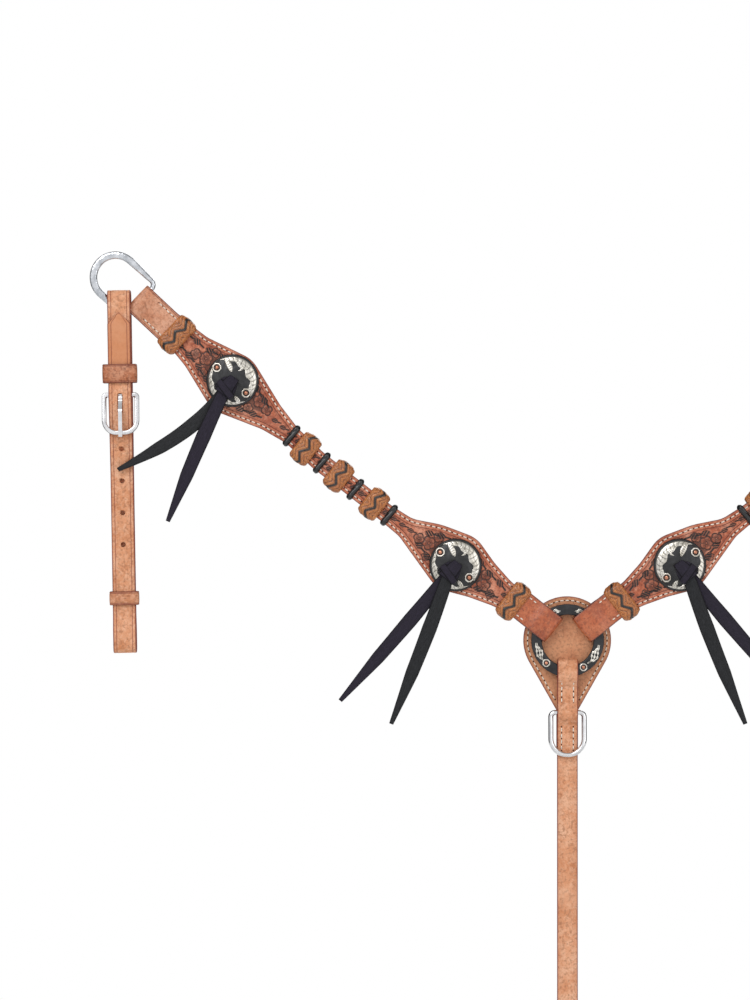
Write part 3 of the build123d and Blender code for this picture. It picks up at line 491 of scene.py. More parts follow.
def directions(path, closed=False):
    """Unit tangents along a path."""
    step = np.roll(path, -1, axis=0) - np.roll(path, 1, axis=0) if closed else np.gradient(path, axis=0)
    return step / np.linalg.norm(step, axis=1)[:, None]


def leftward(path, closed=False):
    """Unit vectors to the left of a flat path."""
    tangent = directions(path, closed)
    return np.stack([-tangent[:, 1], tangent[:, 0]], axis=1)


def run_lengths(path):
    return np.r_[0, np.cumsum(np.linalg.norm(np.diff(path, axis=0), axis=1))]


def bell(distance, width):
    return np.exp(-(distance / width) ** 2)


def edge_profile(thickness, half, crease, crease_depth, burnish=0.0):
    """(inset from the edge, depth under the face, edge shade, crease shade) across half a strap."""
    rounding = min(0.9, 0.42 * thickness)
    profile = [(0.0, 0.5 * thickness, 1, 0), (0.03, 0.72 * rounding, 1, 0), (0.22, 0.28 * rounding, 1, 0),
               (0.6, 0.06 * rounding, 0.75, 0), (1.05, 0, 0.8 if burnish else 0.12, 0)]
    if burnish:
        profile += [(burnish - 0.3, 0, 0.75, 0), (burnish, 0, 0, 0)]
    if crease:
        profile += [(crease - 0.45, 0, 0, 0), (crease - 0.12, crease_depth, 0, 0.8),
                    (crease + 0.12, crease_depth, 0, 0.8), (crease + 0.45, 0, 0, 0)]
    profile.append((half * 0.75, -0.02, 0, 0))
    return [row for row in profile if row[0] <= half * 0.8]


def ribbon(path, across, half, thickness, crease=0.0, crease_depth=0.22, closed=False, flip=False,
           crown=0.0, burnish=0.0):
    """A strap along a path: rounded burnished edges, a crease along each edge and capped ends."""
    half = np.broadcast_to(np.asarray(half, float), len(path))
    across = np.asarray(across, float) / np.linalg.norm(across)
    normal = np.cross(directions(path, closed), across)
    normal *= (-1 if flip else 1) / np.linalg.norm(normal, axis=1)[:, None]
    widest = half.max()
    profile = edge_profile(thickness, widest, crease, crease_depth, burnish)
    plain = edge_profile(thickness, widest, 0, 0)
    ring = [(-1, *row, 1) for row in profile] + [(1, *row, 1) for row in profile[::-1]]
    ring += [(1, *row, -1) for row in plain[1:]] + [(-1, *row, -1) for row in plain[:0:-1]]
    side, inset, drop, edge, line, face = np.array(ring, float).T
    offset = side * half[:, None] * (1 - inset / widest)
    rise = face * (thickness / 2 - drop) + np.where(face > 0, crown * (1 - (offset / widest) ** 2), 0)
    points = path[:, None] + across * offset[..., None] + normal[:, None] * rise[..., None]
    edge, line = np.broadcast_to(edge, offset.shape).copy(), np.broadcast_to(line, offset.shape)
    if not closed:
        edge[0] = edge[-1] = 0.8
    return solid(points, closed, edge=edge, crease=line, lay=xyz(run_lengths(path)[:, None], offset, face))


def plate(outline, back, front):
    """A flat layer with rounded, burnished edges; its outline runs anticlockwise seen from the front."""
    rows = [(1.0, back, 0), (0.3, back, 1), (0, back - 0.35, 1), (0, front + 0.7, 1), (0.14, front + 0.3, 1),
            (0.5, front + 0.07, 0.7), (1.0, front, 0.25), (1.7, front, 0)]
    inset, depth, edge = (column[:, None] for column in np.array(rows, float).T)
    flat = outline + leftward(outline, closed=True) * inset[..., None]
    return solid(xyz(flat[..., 0], depth, flat[..., 1]), edge=np.broadcast_to(edge, flat.shape[:2]))


def prism(outline, low, high):
    """A closed prism between two depths, for cutting."""
    return solid(np.stack([xyz(outline[:, 0], depth, outline[:, 1]) for depth in (low, high)]))


def cut(made, cutters):
    """Cuts shapes out of a piece and keeps the result as its mesh."""
    shape = joined(cutters)
    mesh = bpy.data.meshes.new("cutter")
    mesh.from_pydata((shape.points * MM).tolist(), [], shape.faces)
    mesh.materials.append(made.data.materials[0])
    tool = linked("cutter", mesh)
    modifier = made.modifiers.new("holes", "BOOLEAN")
    modifier.operation, modifier.solver, modifier.material_mode = "DIFFERENCE", "MANIFOLD", "TRANSFER"
    modifier.object = tool
    result = bpy.data.meshes.new_from_object(made.evaluated_get(bpy.context.evaluated_depsgraph_get()))
    result.name = made.name
    made.modifiers.clear()
    made.data = result
    bpy.data.objects.remove(tool)


# ---------------------------------------------------------------- stitches

STITCH_PITCH = 4.4
STITCH_LENGTH = 3.3
STITCH_WIDTH, STITCH_HEIGHT = 1.0, 0.75
HOLE_RADIUS = 0.62


def placed(form, centres, along, up):
    """Copies of a small form at many places."""
    along = along / np.linalg.norm(along, axis=1)[:, None]
    side = np.cross(along, up)
    side /= np.linalg.norm(side, axis=1)[:, None]
    axes = (along, side, np.cross(side, along))
    points = centres[:, None] + sum(form.points[None, :, k:k + 1] * axes[k][:, None] for k in range(3))
    count = len(form.points)
    faces = [tuple(i + copy * count for i in face) for copy in range(len(centres)) for face in form.faces]
    return Shape(points.reshape(-1, 3), faces)


def stitch_form(length):
    """One stitch: a fat thread that dives into the leather at both ends."""
    share, angle = np.linspace(-1, 1, 7)[:, None], turns(6)
    fat = np.sqrt(np.maximum(0, 1 - np.abs(share) ** 3.2)) + 0.05
    rise = np.sin(angle) * STITCH_HEIGHT / 2 * fat + 0.12 - 0.4 * share ** 4
    return solid(xyz(share * length / 2, np.cos(angle) * STITCH_WIDTH / 2 * fat, rise)).stretched(1, -1, 1)


def hole_form():
    """A low dark disc where the awl went through, painted shade of the hole."""
    rim = polar(HOLE_RADIUS, turns(8))
    return solid(np.stack([xyz(rim[:, 0], rim[:, 1], height) for height in (-0.3, 0.05)])).stretched(1, -1, 1)


def stitching(lines):
    """Threads, and dark discs of painted shade at the awl holes, along (points, outward direction) lines."""
    threads, holes = [], []
    for line, up in lines:
        length = run_lengths(line)
        count = max(2, int(round(length[-1] / STITCH_PITCH)))
        stops = np.linspace(0, length[-1], count + 1)
        at = np.stack([np.interp(stops, length, line[:, k]) for k in range(3)], axis=1)
        stitch = stitch_form(STITCH_LENGTH * (length[-1] / count / STITCH_PITCH))
        threads.append(placed(stitch, (at[1:] + at[:-1]) / 2, at[1:] - at[:-1], up))
        holes.append(placed(hole_form(), at, directions(at), up))
    return joined(threads), joined(holes)


def sew(make, name, lines, body, slot):
    """Stitches as two pieces, by piece or by pair."""
    threads, holes = stitching(lines)
    make(f"{name}_thread", threads, THREAD, body, slot)
    make(f"{name}_awl_holes", holes, AWL_HOLE_SHADE, body, slot)


# ---------------------------------------------------------------- the arm's own front view

ARM_RISE = math.radians(38.3)
ARM_MIDDLE = -6.0            # a line that stays inside the arm from end to end
SHOULDER = joint_point("left_shoulder_ring_tip")
SHOULDER_RISE = math.atan2(*[JOINTS["left_shoulder_ring_tip"]["axis"][k] for k in (0, 2)])
FACE_LOW, FACE_HIGH = node_box("left_arm_face")
FACE_FRONT, FACE_BACK = FACE_LOW[1], FACE_HIGH[1]
LINING_BACK = node_box("left_arm_lining")[1][1]


def arm_place(along, across, depth, rise=ARM_RISE, origin=(0, 0, 0)):
    """Points of the left arm's front view: along it outwards, across it upwards, and depth."""
    x = origin[0] - along * math.cos(rise) + across * math.sin(rise)
    z = origin[2] + along * math.sin(rise) + across * math.cos(rise)
    return xyz(x, depth, z)


def arm_local(points):
    """Front-view places of points, back in the arm's own (along, across)."""
    along = -points[..., 0] * math.cos(ARM_RISE) + points[..., 2] * math.sin(ARM_RISE)
    across = points[..., 0] * math.sin(ARM_RISE) + points[..., 2] * math.cos(ARM_RISE)
    return along, across


def arm_edges(node):
    """Upper and lower edge of a flat layer of the left arm, each as places along and across it."""
    along, across = arm_local(np.array([vertex.co for vertex in frame["nodes"][node].data.vertices]) / MM)
    edges = []
    for keep in (across > ARM_MIDDLE, across <= ARM_MIDDLE):
        order = np.argsort(along[keep])
        edges.append((along[keep][order], across[keep][order]))
    return edges


ARM_RIM = 0.9                # how far in from its edges a layer is rounded


def arm_sheet(node, back, front, step, rows, relief=None):
    """A layer of the arm as a fine grid, with rounded edges and an optional carved relief."""
    upper, lower = arm_edges(node)
    start = max(upper[0].min(), lower[0].min()) + 0.05
    end = min(upper[0].max(), lower[0].max()) - 0.05
    stations = np.linspace(start, end, int((end - start) / step))
    low, high = np.interp(stations, *lower)[:, None], np.interp(stations, *upper)[:, None]
    rims = [(0, abs(front - back) - 0.3, 1), (0, 0.7, 1), (0.13, 0.28, 1), (0.45, 0.07, 0.55),
            (ARM_RIM, 0, 0.1)]
    inset, drop, edge = np.array(rims).T
    spread = np.linspace(0, 1, rows)[1:-1]
    across = np.hstack([low + inset, low + ARM_RIM + (high - low - 2 * ARM_RIM) * spread, high - inset[::-1]])
    along = np.broadcast_to(stations[:, None], across.shape)
    drops, edges = (np.broadcast_to(np.r_[row, 0 * spread, row[::-1]], across.shape) for row in (drop, edge))
    marks = {"edge": edges, "lay": xyz(along, across, 0)}
    if relief:
        carving = relief(along, across, stations, low, high)
        drops = drops - carving.pop("height") * (drops == 0)
        marks.update(carving)
    depth = front + drops if front < back else front - drops
    return solid(arm_place(along, across, depth), **marks), (stations, low[:, 0], high[:, 0])


# ---------------------------------------------------------------- tooling on the arm's face

STITCH_INSET = 2.8
BORDER_INSET = 5.4
STAMP_INSET, STAMP_SPACING, STAMP_SIZE = 8.6, 11.0, 5.0
SMALL_STAMP_SPACING, SMALL_STAMP_SIZE = 8.2, 3.8
NARROW = 24                  # a narrower arm has one line of small stamps along its middle
FULL_WIDTH = 28              # a wider arm has its edge stamps at their full inset
GROUND_REACH = 44            # how far the matted ground runs to each side of a concho
GROUND_WIDTH = 30            # the arm is at least this wide where it has a ground
GROUND_INSET = BORDER_INSET + 6.2
FLOWERS = ((27.5, 0.5, 5.6, 5), (36.0, -1.5, 4.4, 4), (24.0, 9.0, 4.2, 4), (23.0, -9.5, 4.2, 5))
CONCHO_SPOTS = {name: sum(node_box(f"left_{name}_concho")) / 2 for name in ("outer", "inner")}


def stamp(carving, along, across, centre, turn, size, hand):
    """A leaf stamp: a fan of cut veins and a curved stem, all dyed black."""
    near = (np.abs(along - centre[0]) < 2.2 * size) & (np.abs(across - centre[1]) < 2.2 * size)
    x, y = along[near] - centre[0], across[near] - centre[1]
    a = (x * math.cos(turn) + y * math.sin(turn)) / size
    b = (-x * math.sin(turn) + y * math.cos(turn)) / size * hand
    body = np.abs((a - 0.1 + 0.3 * b) / 0.62) ** 2.6 + np.abs(b / 0.47) ** 2.6
    inside = 1 / (1 + np.exp(np.clip((body - 1) * 9, -40, 40)))
    veins = np.clip(0.5 + 0.8 * np.cos((a + 0.5 * b) * 15), 0, 1)
    stem = bell(b + 0.42 * (a + 0.35) - 0.1, 0.15) * ((a < -0.35) & (a > -1.35))
    ink = np.maximum(inside * (0.3 + 0.9 * veins), stem)
    outline = 0.6 * bell(body - 1.0, 0.25)
    carving["dye"][near] = np.maximum(carving["dye"][near], np.clip(ink * 1.5, 0, 1))
    carving["cut"][near] = np.maximum(carving["cut"][near], outline)
    carving["height"][near] -= 0.34 * np.maximum(ink, outline)


def flower(carving, along, across, centre, radius, petals, turn):
    """A carved flower: domed petals, veins from its eye and a dark cut outline."""
    x, y = along - centre[0], across - centre[1]
    near = np.hypot(x, y) < 1.35 * radius
    r, angle = np.hypot(x, y)[near] / radius, np.arctan2(y[near], x[near]) + turn
    lobe = np.abs(np.cos(petals * angle / 2))
    share = r / (0.72 + 0.28 * lobe ** 0.7)
    veins = (0.5 + 0.5 * np.cos(petals * 3 * angle + 3 * r)) * bell(r - 0.42, 0.16)
    split = bell(lobe, 0.16) * ((share < 1) & (r > 0.25))
    ink = np.maximum.reduce([bell(share - 1.0, 0.13), 0.85 * veins, 0.8 * split, bell(r - 0.2, 0.06)])
    petal = 0.3 * np.clip(1 - share ** 2, 0, 1)
    for name, carved in (("dye", 0.14 + 0.8 * ink), ("cut", 0.2 + 0.5 * ink), ("height", petal - 0.42 * ink)):
        carving[name][near] = np.where(share > 1.12, carving[name][near], carved)


def leans(edge, stations):
    return np.arctan(np.gradient(edge, stations))


def carve_borders(carving, inset):
    groove, border = bell(inset - STITCH_INSET, 0.75), bell(inset - BORDER_INSET, 0.34)
    inner = bell(inset - BORDER_INSET - 1.0, 0.22)
    carving["height"] -= 0.2 * groove + 0.4 * border + 0.15 * inner
    carving["cut"] += np.maximum(0.95 * border, 0.4 * inner)
    carving["crease"] += 0.25 * groove


def carve_ground(carving, along, across, inset, width, middle):
    """The dark, dotted ground beside a concho."""
    ground = (np.abs(along - middle) < GROUND_REACH) & (inset > GROUND_INSET) & (width > GROUND_WIDTH)
    fuzz = np.clip((inset - GROUND_INSET) / 1.2, 0, 1) * ground
    dots = 0.5 + 0.5 * np.sin(along * 5.6 + 0.6 * np.sin(across * 3.1)) * np.sin(across * 5.9)
    carving["dye"] = np.maximum(carving["dye"], fuzz * (0.30 + 0.6 * dots ** 2))
    carving["cut"] = np.maximum(carving["cut"], 0.55 * fuzz)
    carving["height"] -= 0.32 * fuzz + 0.12 * fuzz * dots


def carve_flowers(carving, along, across, stations, low, high, spot, chance):
    """Flowers to both sides of a concho, each as big as the room for it."""
    for away in (-1, 1):
        for distance, aside, radius, petals in FLOWERS:
            centre = (spot[0] + away * distance, spot[1] + aside)
            k = min(int(np.searchsorted(stations, centre[0])), len(stations) - 1)
            room = min(centre[1] - low[k, 0], high[k, 0] - centre[1]) - BORDER_INSET
            if room >= 1.5:
                turn = float(chance.uniform(0, 6.28))
                flower(carving, along, across, centre, min(radius, room + 1.0), petals, turn)


def carve_edge(carving, along, across, stations, edge, width, inwards, chance):
    """A row of stamps along one edge."""
    lean = leans(edge, stations)
    steps = np.r_[0, np.cumsum(np.hypot(np.diff(stations), np.diff(edge)))]
    for stop in np.arange(5.0, steps[-1], STAMP_SPACING):
        k = min(int(np.searchsorted(steps, stop)), len(stations) - 1)
        if width[k] >= NARROW:
            offset = inwards * (STAMP_INSET if width[k] > FULL_WIDTH else STAMP_INSET - 1.0)
            centre = (stations[k] - math.sin(lean[k]) * offset, edge[k] + math.cos(lean[k]) * offset)
            turn = lean[k] + float(chance.uniform(-0.12, 0.12)) + 0.35 * inwards
            stamp(carving, along, across, centre, turn, STAMP_SIZE, inwards)


def tooled(along, across, stations, low, high):
    """The carved face: borders, flowers on a matted ground beside each concho, and leaf stamps."""
    carving = {name: np.zeros(along.shape) for name in ("height", "dye", "cut", "crease")}
    edges = (low[:, 0], 1), (high[:, 0], -1)
    width, middle = high - low, (high + low) / 2
    inset = np.minimum.reduce([(across - edge[:, None]) * inwards * np.cos(leans(edge, stations))[:, None]
                               for edge, inwards in edges])
    carve_borders(carving, inset)
    chance = np.random.default_rng(7)
    for spot in map(arm_local, CONCHO_SPOTS.values()):
        carve_ground(carving, along, across, inset, width, spot[0])
        carve_flowers(carving, along, across, stations, low, high, spot, chance)
    for edge, inwards in edges:
        carve_edge(carving, along, across, stations, edge, width[:, 0], inwards, chance)
    for stop in np.arange(stations[0] + 6, stations[-1], SMALL_STAMP_SPACING):
        k = min(int(np.searchsorted(stations, stop)), len(stations) - 1)
        if width[k, 0] < NARROW:
            stamp(carving, along, across, (stations[k], middle[k, 0]), 0.1, SMALL_STAMP_SIZE, 1)
    return carving


# ---------------------------------------------------------------- arms

def edge_lines(stations, low, high, depth, up):
    """The stitch lines that run inside the arm's edges."""
    lines = []
    for edge, inset in ((low, STITCH_INSET), (high, -STITCH_INSET)):
        lean = leans(edge, stations)
        line = arm_place(stations - np.sin(lean) * inset, edge + np.cos(lean) * inset, depth)
        lines.append((line, up))
    return lines


def make_arms():
    face, face_edges = arm_sheet("left_arm_face", FACE_BACK, FACE_FRONT, 0.42, 104, tooled)
    lining, lining_edges = arm_sheet("left_arm_lining", FACE_BACK, LINING_BACK, 1.5, 14)
    pair("arm_face", face, TOOLED, "arm", "tooled_leather")
    pair("arm_lining", lining, FLESH, "arm", "lining_leather")
    lines = edge_lines(*face_edges, FACE_FRONT + 0.12, FRONT) + edge_lines(*lining_edges, LINING_BACK, -FRONT)
    sew(pair, "arm", lines, "arm", "tooled_leather")


# ---------------------------------------------------------------- the loops of an arm

LEATHER = 2.2                # the thickness of strap leather
LAID = 0.2                   # between two layers that are sewn together
GAP = 0.3                    # between two things that move past each other
WIRE = 2.0                   # the radius of the hardware's round bars
RING_LOW, RING_HIGH = node_box("centre_ring")
RING_OUTER, RING_FRONT, RING_BACK = RING_HIGH[0], RING_LOW[1], RING_HIGH[1]
RING_FOLD = 14.5
SHOULDER_THICKNESS = 4.0
RING_MID = RING_BACK - SHOULDER_THICKNESS / 2
LOOP_FRONT = RING_BACK - SHOULDER_THICKNESS - GAP - LEATHER / 2
LOOP_BACK = LINING_BACK - LEATHER / 2
LOOP_FLAP = FACE_FRONT - LEATHER / 2
LOOP_MIDDLE = -0.6
LOOP_HALF, SHOULDER_LOOP_HALF = 12.0, 12.8
FLAP_START, FLAP_END = RING_OUTER + 7.5, RING_OUTER + 23


def make_loop(name, route, radii, across, half, material, rise, origin, **looks):
    """Plain leather folded round a ring, from (along, depth) corners of its centre line."""
    flat = rounded_path(route, radii, step=1.3)
    path = arm_place(flat[:, 0], across, flat[:, 1], rise, origin)
    shape = ribbon(path, (math.sin(rise), 0.0, math.cos(rise)), half, LEATHER, **looks)
    pair(name, shape, material, "arm", "plain_leather")


def make_loops():
    route = [(FLAP_END, LOOP_FLAP), (FLAP_START, LOOP_FLAP), (RING_OUTER - 1, LOOP_FRONT - 0.25),
             (RING_OUTER - 7, LOOP_FRONT - 0.45), (RING_FOLD, LOOP_FRONT + 0.5), (RING_FOLD, LOOP_BACK),
             (RING_OUTER + 5, LOOP_BACK)]
    make_loop("ring_loop", route, [14, 12, 24, 3.1, 3.1], LOOP_MIDDLE, LOOP_HALF, LOOPS,
              ARM_RISE, (0, 0, 0), crown=0.35)
    fold = WIRE + GAP + LEATHER / 2
    route = [(-39, LOOP_FLAP), (-9.5, LOOP_FLAP), (-4, LOOP_FRONT), (fold, LOOP_FRONT), (fold, LOOP_BACK),
             (-20, LOOP_BACK)]
    make_loop("shoulder_loop", route, [3, 3, 2.8, 2.8], 0.0, SHOULDER_LOOP_HALF, SHOULDER_LOOPS,
              SHOULDER_RISE, SHOULDER, crease=1.6, crease_depth=0.12, flip=True, crown=0.2)

    top = LOOP_FLAP - LEATHER / 2 - 0.05
    lines = []
    for side in (-1, 1):
        inner_run, outer_run = np.linspace(FLAP_START + 1, FLAP_END - 2, 12), np.linspace(-12, -32, 12)
        lines.append((arm_place(inner_run, LOOP_MIDDLE + side * 8.6, top), FRONT))
        lines.append((arm_place(outer_run, side * 8.8, top, SHOULDER_RISE, SHOULDER), FRONT))
    sew(pair, "loop", lines, "arm", "plain_leather")


# ---------------------------------------------------------------- the bands and knots of an arm

ARM_CENTRE = (LINING_BACK + FACE_FRONT) / 2
FLAP_CENTRE = (LINING_BACK + LOOP_FLAP - LEATHER / 2) / 2
BAND_WALL = 2.6
STRAND, BLACK_HALF = 2.9, 1.3
NECK_KNOTS = ((258.6, -9.7), (224.5, -10.3), (188.6, -10.2))
WRAPS = ((273.9, -8.4), (241.6, -10.4), (207.5, -10.4), (173.6, -9.9))
NECK_KNOT_SIZES, WRAP_SIZES = (24.2, 11.8, 16.5), (18.9, 8.5, 5.4)
SHOULDER_KNOT_SIZES, RING_KNOT_SIZES = (30.6, 13.0, 17), (30.6, 13.0, 15.5)


def half_round(place):
    return np.sqrt(np.clip(1 - place ** 2, 0, 1))


def band_section(across, depth, count):
    """A rounded rectangle as evenly spaced points, outward normals and places round it."""
    path = rounded_box(across, depth, min(5.0, depth * 0.4), 0.4)
    loop = np.vstack([path, path[:1]])
    length = run_lengths(loop)
    stops = np.linspace(0, length[-1], count + 1)[:-1]
    section = np.stack([np.interp(stops, length, loop[:, k]) for k in range(2)], axis=1)
    return section, -leftward(section, closed=True), stops, length[-1]


def band(spot, middle, sizes, surface, rise=ARM_RISE, origin=(0, 0, 0), cells=0.55):
    """A band wound round the arm. surface gives its height and shades from (around, aside, girth, length)."""
    across, depth, length = sizes
    section, normal, around, girth = band_section(across, depth, int(2 * (across + depth) / cells))
    aside = -np.cos(np.linspace(0, math.pi, int(length / cells) + 8)) * length / 2
    a, s = np.meshgrid(aside, around, indexing="ij")
    height, values = surface(s, a, girth, length)
    height = height - 3.3 * (1 - np.sqrt(np.clip(1 - (np.abs(a) / (length / 2)) ** 2.1, 0, 1)))
    height = np.pad(height, ((1, 1), (0, 0)), constant_values=-BAND_WALL)
    a = np.pad(a, ((1, 1), (0, 0)), mode="edge")
    values = {key: np.concatenate([value[:1], value, value[-1:]]) for key, value in values.items()}
    flat = section + normal * height[..., None]
    points = arm_place(spot[0] + a, spot[1] + flat[..., 0], middle + flat[..., 1], rise, origin)
    return solid(points, ring=True, **values)


def rawhide_surface(seed):
    """Flat strands that follow a zigzag round the knot, with one black strand among them, and painted shade
    in the gaps between strands and where they cross.
    """
    def surface(s, a, girth, length):
        waves = max(5, round(girth / 13.5))
        wave = np.arcsin(0.94 * np.sin(2 * math.pi * waves * (s / girth + 0.13 * seed))) / math.asin(0.94)
        place = a - 2.1 * wave * np.clip(1.25 - 0.75 * (np.abs(a) / (length / 2)) ** 2, 0.35, 1)
        outer = np.abs(place) - BLACK_HALF
        black, number = outer < 0, np.floor(outer / STRAND)
        weave = np.cos(2 * math.pi * waves * (s / girth) + math.pi * number + 0.8 * np.sign(place))
        hump = 1.15 * half_round(np.mod(outer, STRAND) / STRAND * 2 - 1) * (0.8 + 0.2 * weave)
        black_hump = 1.05 * half_round(place / BLACK_HALF) * (0.9 + 0.1 * weave)
        rim = 0.8 * half_round((np.abs(a) - (length / 2 - 1.35)) / 1.3)
        height = np.where(black, black_hump, hump)
        over_rim = (rim > height) & ~black
        height = np.maximum(height, rim * ~black)
        # How low the strands lie between each other, used as painted shade in the gaps.
        gap_shade = np.clip(1.1 - height / 0.62, 0, 1)
        crossing = bell(np.mod(s / girth * waves * 2 + 0.5 * number, 1) - 0.5, 0.055) * ~black
        return height - 0.1 * crossing, {
            "dye": black * np.clip(1.3 - gap_shade, 0, 1), "cut": np.clip(gap_shade + 0.4 * crossing, 0, 1) * ~black,
            "lay": xyz(s, np.where(over_rim, a * 1.7 + 40, place), number)}
    return surface


def wrap_surface(s, a, girth, length):
    """Three turns of round strand that twist about each other, with painted shade in the grooves between
    them.
    """
    phase = 2 * math.pi * (3 * s / girth + a / (length * 1.1))
    height = 0.75 * np.abs(np.cos(phase / 2)) ** 0.6
    # The cut mark darkens where the surface sinks between turns: painted shade.
    return height, {"cut": np.clip(1 - height / 0.4, 0, 1), "lay": xyz(s, a + 2 * s / girth, 0)}


def make_bands():
    shoulder = band((-39.7, 0.0), FLAP_CENTRE, SHOULDER_KNOT_SIZES, rawhide_surface(1), SHOULDER_RISE,
                    SHOULDER)
    ring_side = band((RING_OUTER + 24.2, -2.3), FLAP_CENTRE, RING_KNOT_SIZES, rawhide_surface(2))
    neck = [band(spot, ARM_CENTRE, NECK_KNOT_SIZES, rawhide_surface(seed))
            for seed, spot in enumerate(NECK_KNOTS, start=3)]
    wraps = [band(spot, ARM_CENTRE, WRAP_SIZES, wrap_surface, cells=0.4) for spot in WRAPS]
    pair("shoulder_knot", shoulder, RAWHIDE, "arm", "rawhide")
    pair("ring_knot", ring_side, RAWHIDE, "arm", "rawhide")
    pair("neck_knots", joined(neck), RAWHIDE, "arm", "rawhide")
    pair("black_wraps", joined(wraps), BLACK_RAWHIDE, "arm", "black_rawhide")


# ---------------------------------------------------------------- conchos

CONCHO_RADIUS, CONCHO_HEIGHT = 21.0, 5.2
CONCHO_BACK = FACE_FRONT - 0.05
SUNK_RING, RAISED_RIM, SILVER_REACH = 18.9, 20.1, 20.6
PATCH_CELLS = 17
ROSETTE_SPOTS = ((-12.4, 10.4), (10.9, -10.0))
SILVER_ROSETTE = ((2.35, -0.2), (2.4, 0.45), (2.75, 0.8), (3.2, 0.82), (3.6, 0.5), (3.72, -0.3))
COPPER_BEAD = ((0.02, 1.35), (0.6, 1.3), (1.15, 1.05), (1.6, 0.62), (1.75, -0.2))


def dome(radius):
    """Height of a concho's dome above its back."""
    return 1.0 + (CONCHO_HEIGHT - 1.0) * (1 - np.clip(radius / CONCHO_RADIUS, 0, 1) ** 2) ** 0.82


def concho_plate():
    """The black dome with its raised rim, a sunk ring inside the rim and the string's slot, a shallow pit
    painted dark as the shade of a hole.
    """
    side = (CONCHO_RADIUS, CONCHO_RADIUS, 19.5)
    radii = np.r_[np.linspace(0.01, 18.2, 46), np.linspace(18.5, 20.95, 12), side]
    r, angle = np.meshgrid(radii, turns(240), indexing="ij")
    x, z = r * np.cos(angle), r * np.sin(angle)
    slot = bell(x / 4.6, 1.0) * bell((z + 0.6) / 1.5, 1.0)
    height = dome(r) - 0.28 * bell(r - SUNK_RING, 0.35) + 0.30 * bell(r - RAISED_RIM, 0.55) - 2.2 * slot ** 2
    height += 0.10 * np.sin(9 * angle + 0.9 * r) * bell(r - 12, 5)
    height[-2], height[-1] = 0.15, 0.0
    # The cut mark gives tarnish in the sunk ring and painted shade in the slot's pit.
    return solid(xyz(x, -height, z), cut=np.clip(np.maximum(bell(r - SUNK_RING, 0.5), slot), 0, 1))


def dome_patch(spine, width, raise_by, lines):
    """A raised, engraved leaf laid on the dome, from its spine and half width in the concho's front view."""
    share = np.linspace(-1, 1, PATCH_CELLS)
    flat = spine[:, None] + leftward(spine)[:, None] * (width[:, None] * share)[..., None]
    radius = np.hypot(flat[..., 0], flat[..., 1])
    flat *= np.minimum(1, SILVER_REACH / np.maximum(radius, 1e-6))[..., None]
    radius = np.minimum(radius, SILVER_REACH)
    along = run_lengths(spine)[:, None]
    engraving = np.clip(np.sin(lines * along + 1.9 * share + 1.4 * share ** 2) * 2 - 1.0, 0, 1)
    vein = bell(share - 0.05 * np.sin(along), 0.07)
    engraving = np.clip(engraving * (np.abs(share) < 0.8) + 0.7 * vein, 0, 1)
    body = (1 - np.abs(share) ** 4) * np.clip(width[:, None] / 0.8, 0, 1)
    height = dome(radius) - 0.12 + raise_by * body - 0.16 * engraving * body
    top = xyz(flat[..., 0], -height, flat[..., 1])
    under = xyz(flat[..., 0], 0.75 - dome(radius), flat[..., 1])[:, ::-1]
    marks = 0.75 * engraving * body
    return solid(np.concatenate([top, under], axis=1), cut=np.concatenate([marks, marks], axis=1))


def crescent(start, end, outer, widest, scallops):
    """An engraved crescent that hugs the rim between two angles, with a scalloped inner edge."""
    share = np.linspace(0, 1, 90)
    swell = np.sin(math.pi * share ** 1.15) ** 0.7
    width = widest / 2 * swell * (0.86 + 0.34 * (1 - np.abs(np.cos(scallops * math.pi * share))) ** 0.7)
    spine = polar(outer - width, np.radians(start + (end - start) * share))
    return dome_patch(spine, width + 0.05, 0.55, 1.75)


def leaf(points, widest):
    """A pointed leaf along a few chosen points."""
    width = widest / 2 * np.sin(math.pi * np.linspace(0, 1, 40) ** 0.8) ** 0.8 + 0.05
    return dome_patch(curve(points, 40), width, 0.75, 3.4)


def concho_silver():
    """A crescent and its leaves, a smaller crescent and leaf opposite them, and a thin rim."""
    forms = [crescent(122, -42, 19.4, 7.4, 4),
             leaf([(-6.5, 17.5), (-3.2, 13.5), (-1.5, 9.5), (-0.6, 6.4)], 4.8),
             leaf([(16.5, -2.0), (14.2, -6.0), (15.8, -10.5)], 3.2),
             leaf([(3.5, 15.0), (7.5, 10.2), (4.6, 7.6)], 2.8)]
    opposite = [crescent(122, -38, 19.4, 4.6, 5), leaf([(-6.5, 17.5), (-3.2, 14.5), (-2.2, 11.8)], 3.6)]
    forms += [form.stretched(-1, 1, -1) for form in opposite]
    rim = dome_patch(polar(RAISED_RIM, np.linspace(0, 2 * math.pi, 181)), np.full(181, 0.5), 0.5, 0)
    rim.values["cut"][:] = 0
    return joined(forms + [rim])


def turned(profile, scallop=0.0, ring=False):
    """A small round form from (radius, height) rows, its edge scalloped."""
    reach, height = (column[:, None] for column in np.array(profile).T)
    flat = polar(reach * (1 + scallop * np.abs(np.sin(4 * turns(64))) * reach), turns(64))
    return solid(xyz(flat[..., 0], -height, flat[..., 1]), ring)


ROSETTE = turned(SILVER_ROSETTE, scallop=0.02, ring=True)
BEAD = turned(COPPER_BEAD)


def on_dome(shape, x, z):
    """Seats a small form on the dome, tilted with it."""
    radius = math.hypot(x, z)
    slope = (dome(radius + 0.3) - dome(radius - 0.3)) / 0.6
    away = (shape.points[:, 0] * x + shape.points[:, 2] * z) / radius
    return shape.moved((x, -dome(radius), z)).moved(xyz(0, -away * slope, 0))


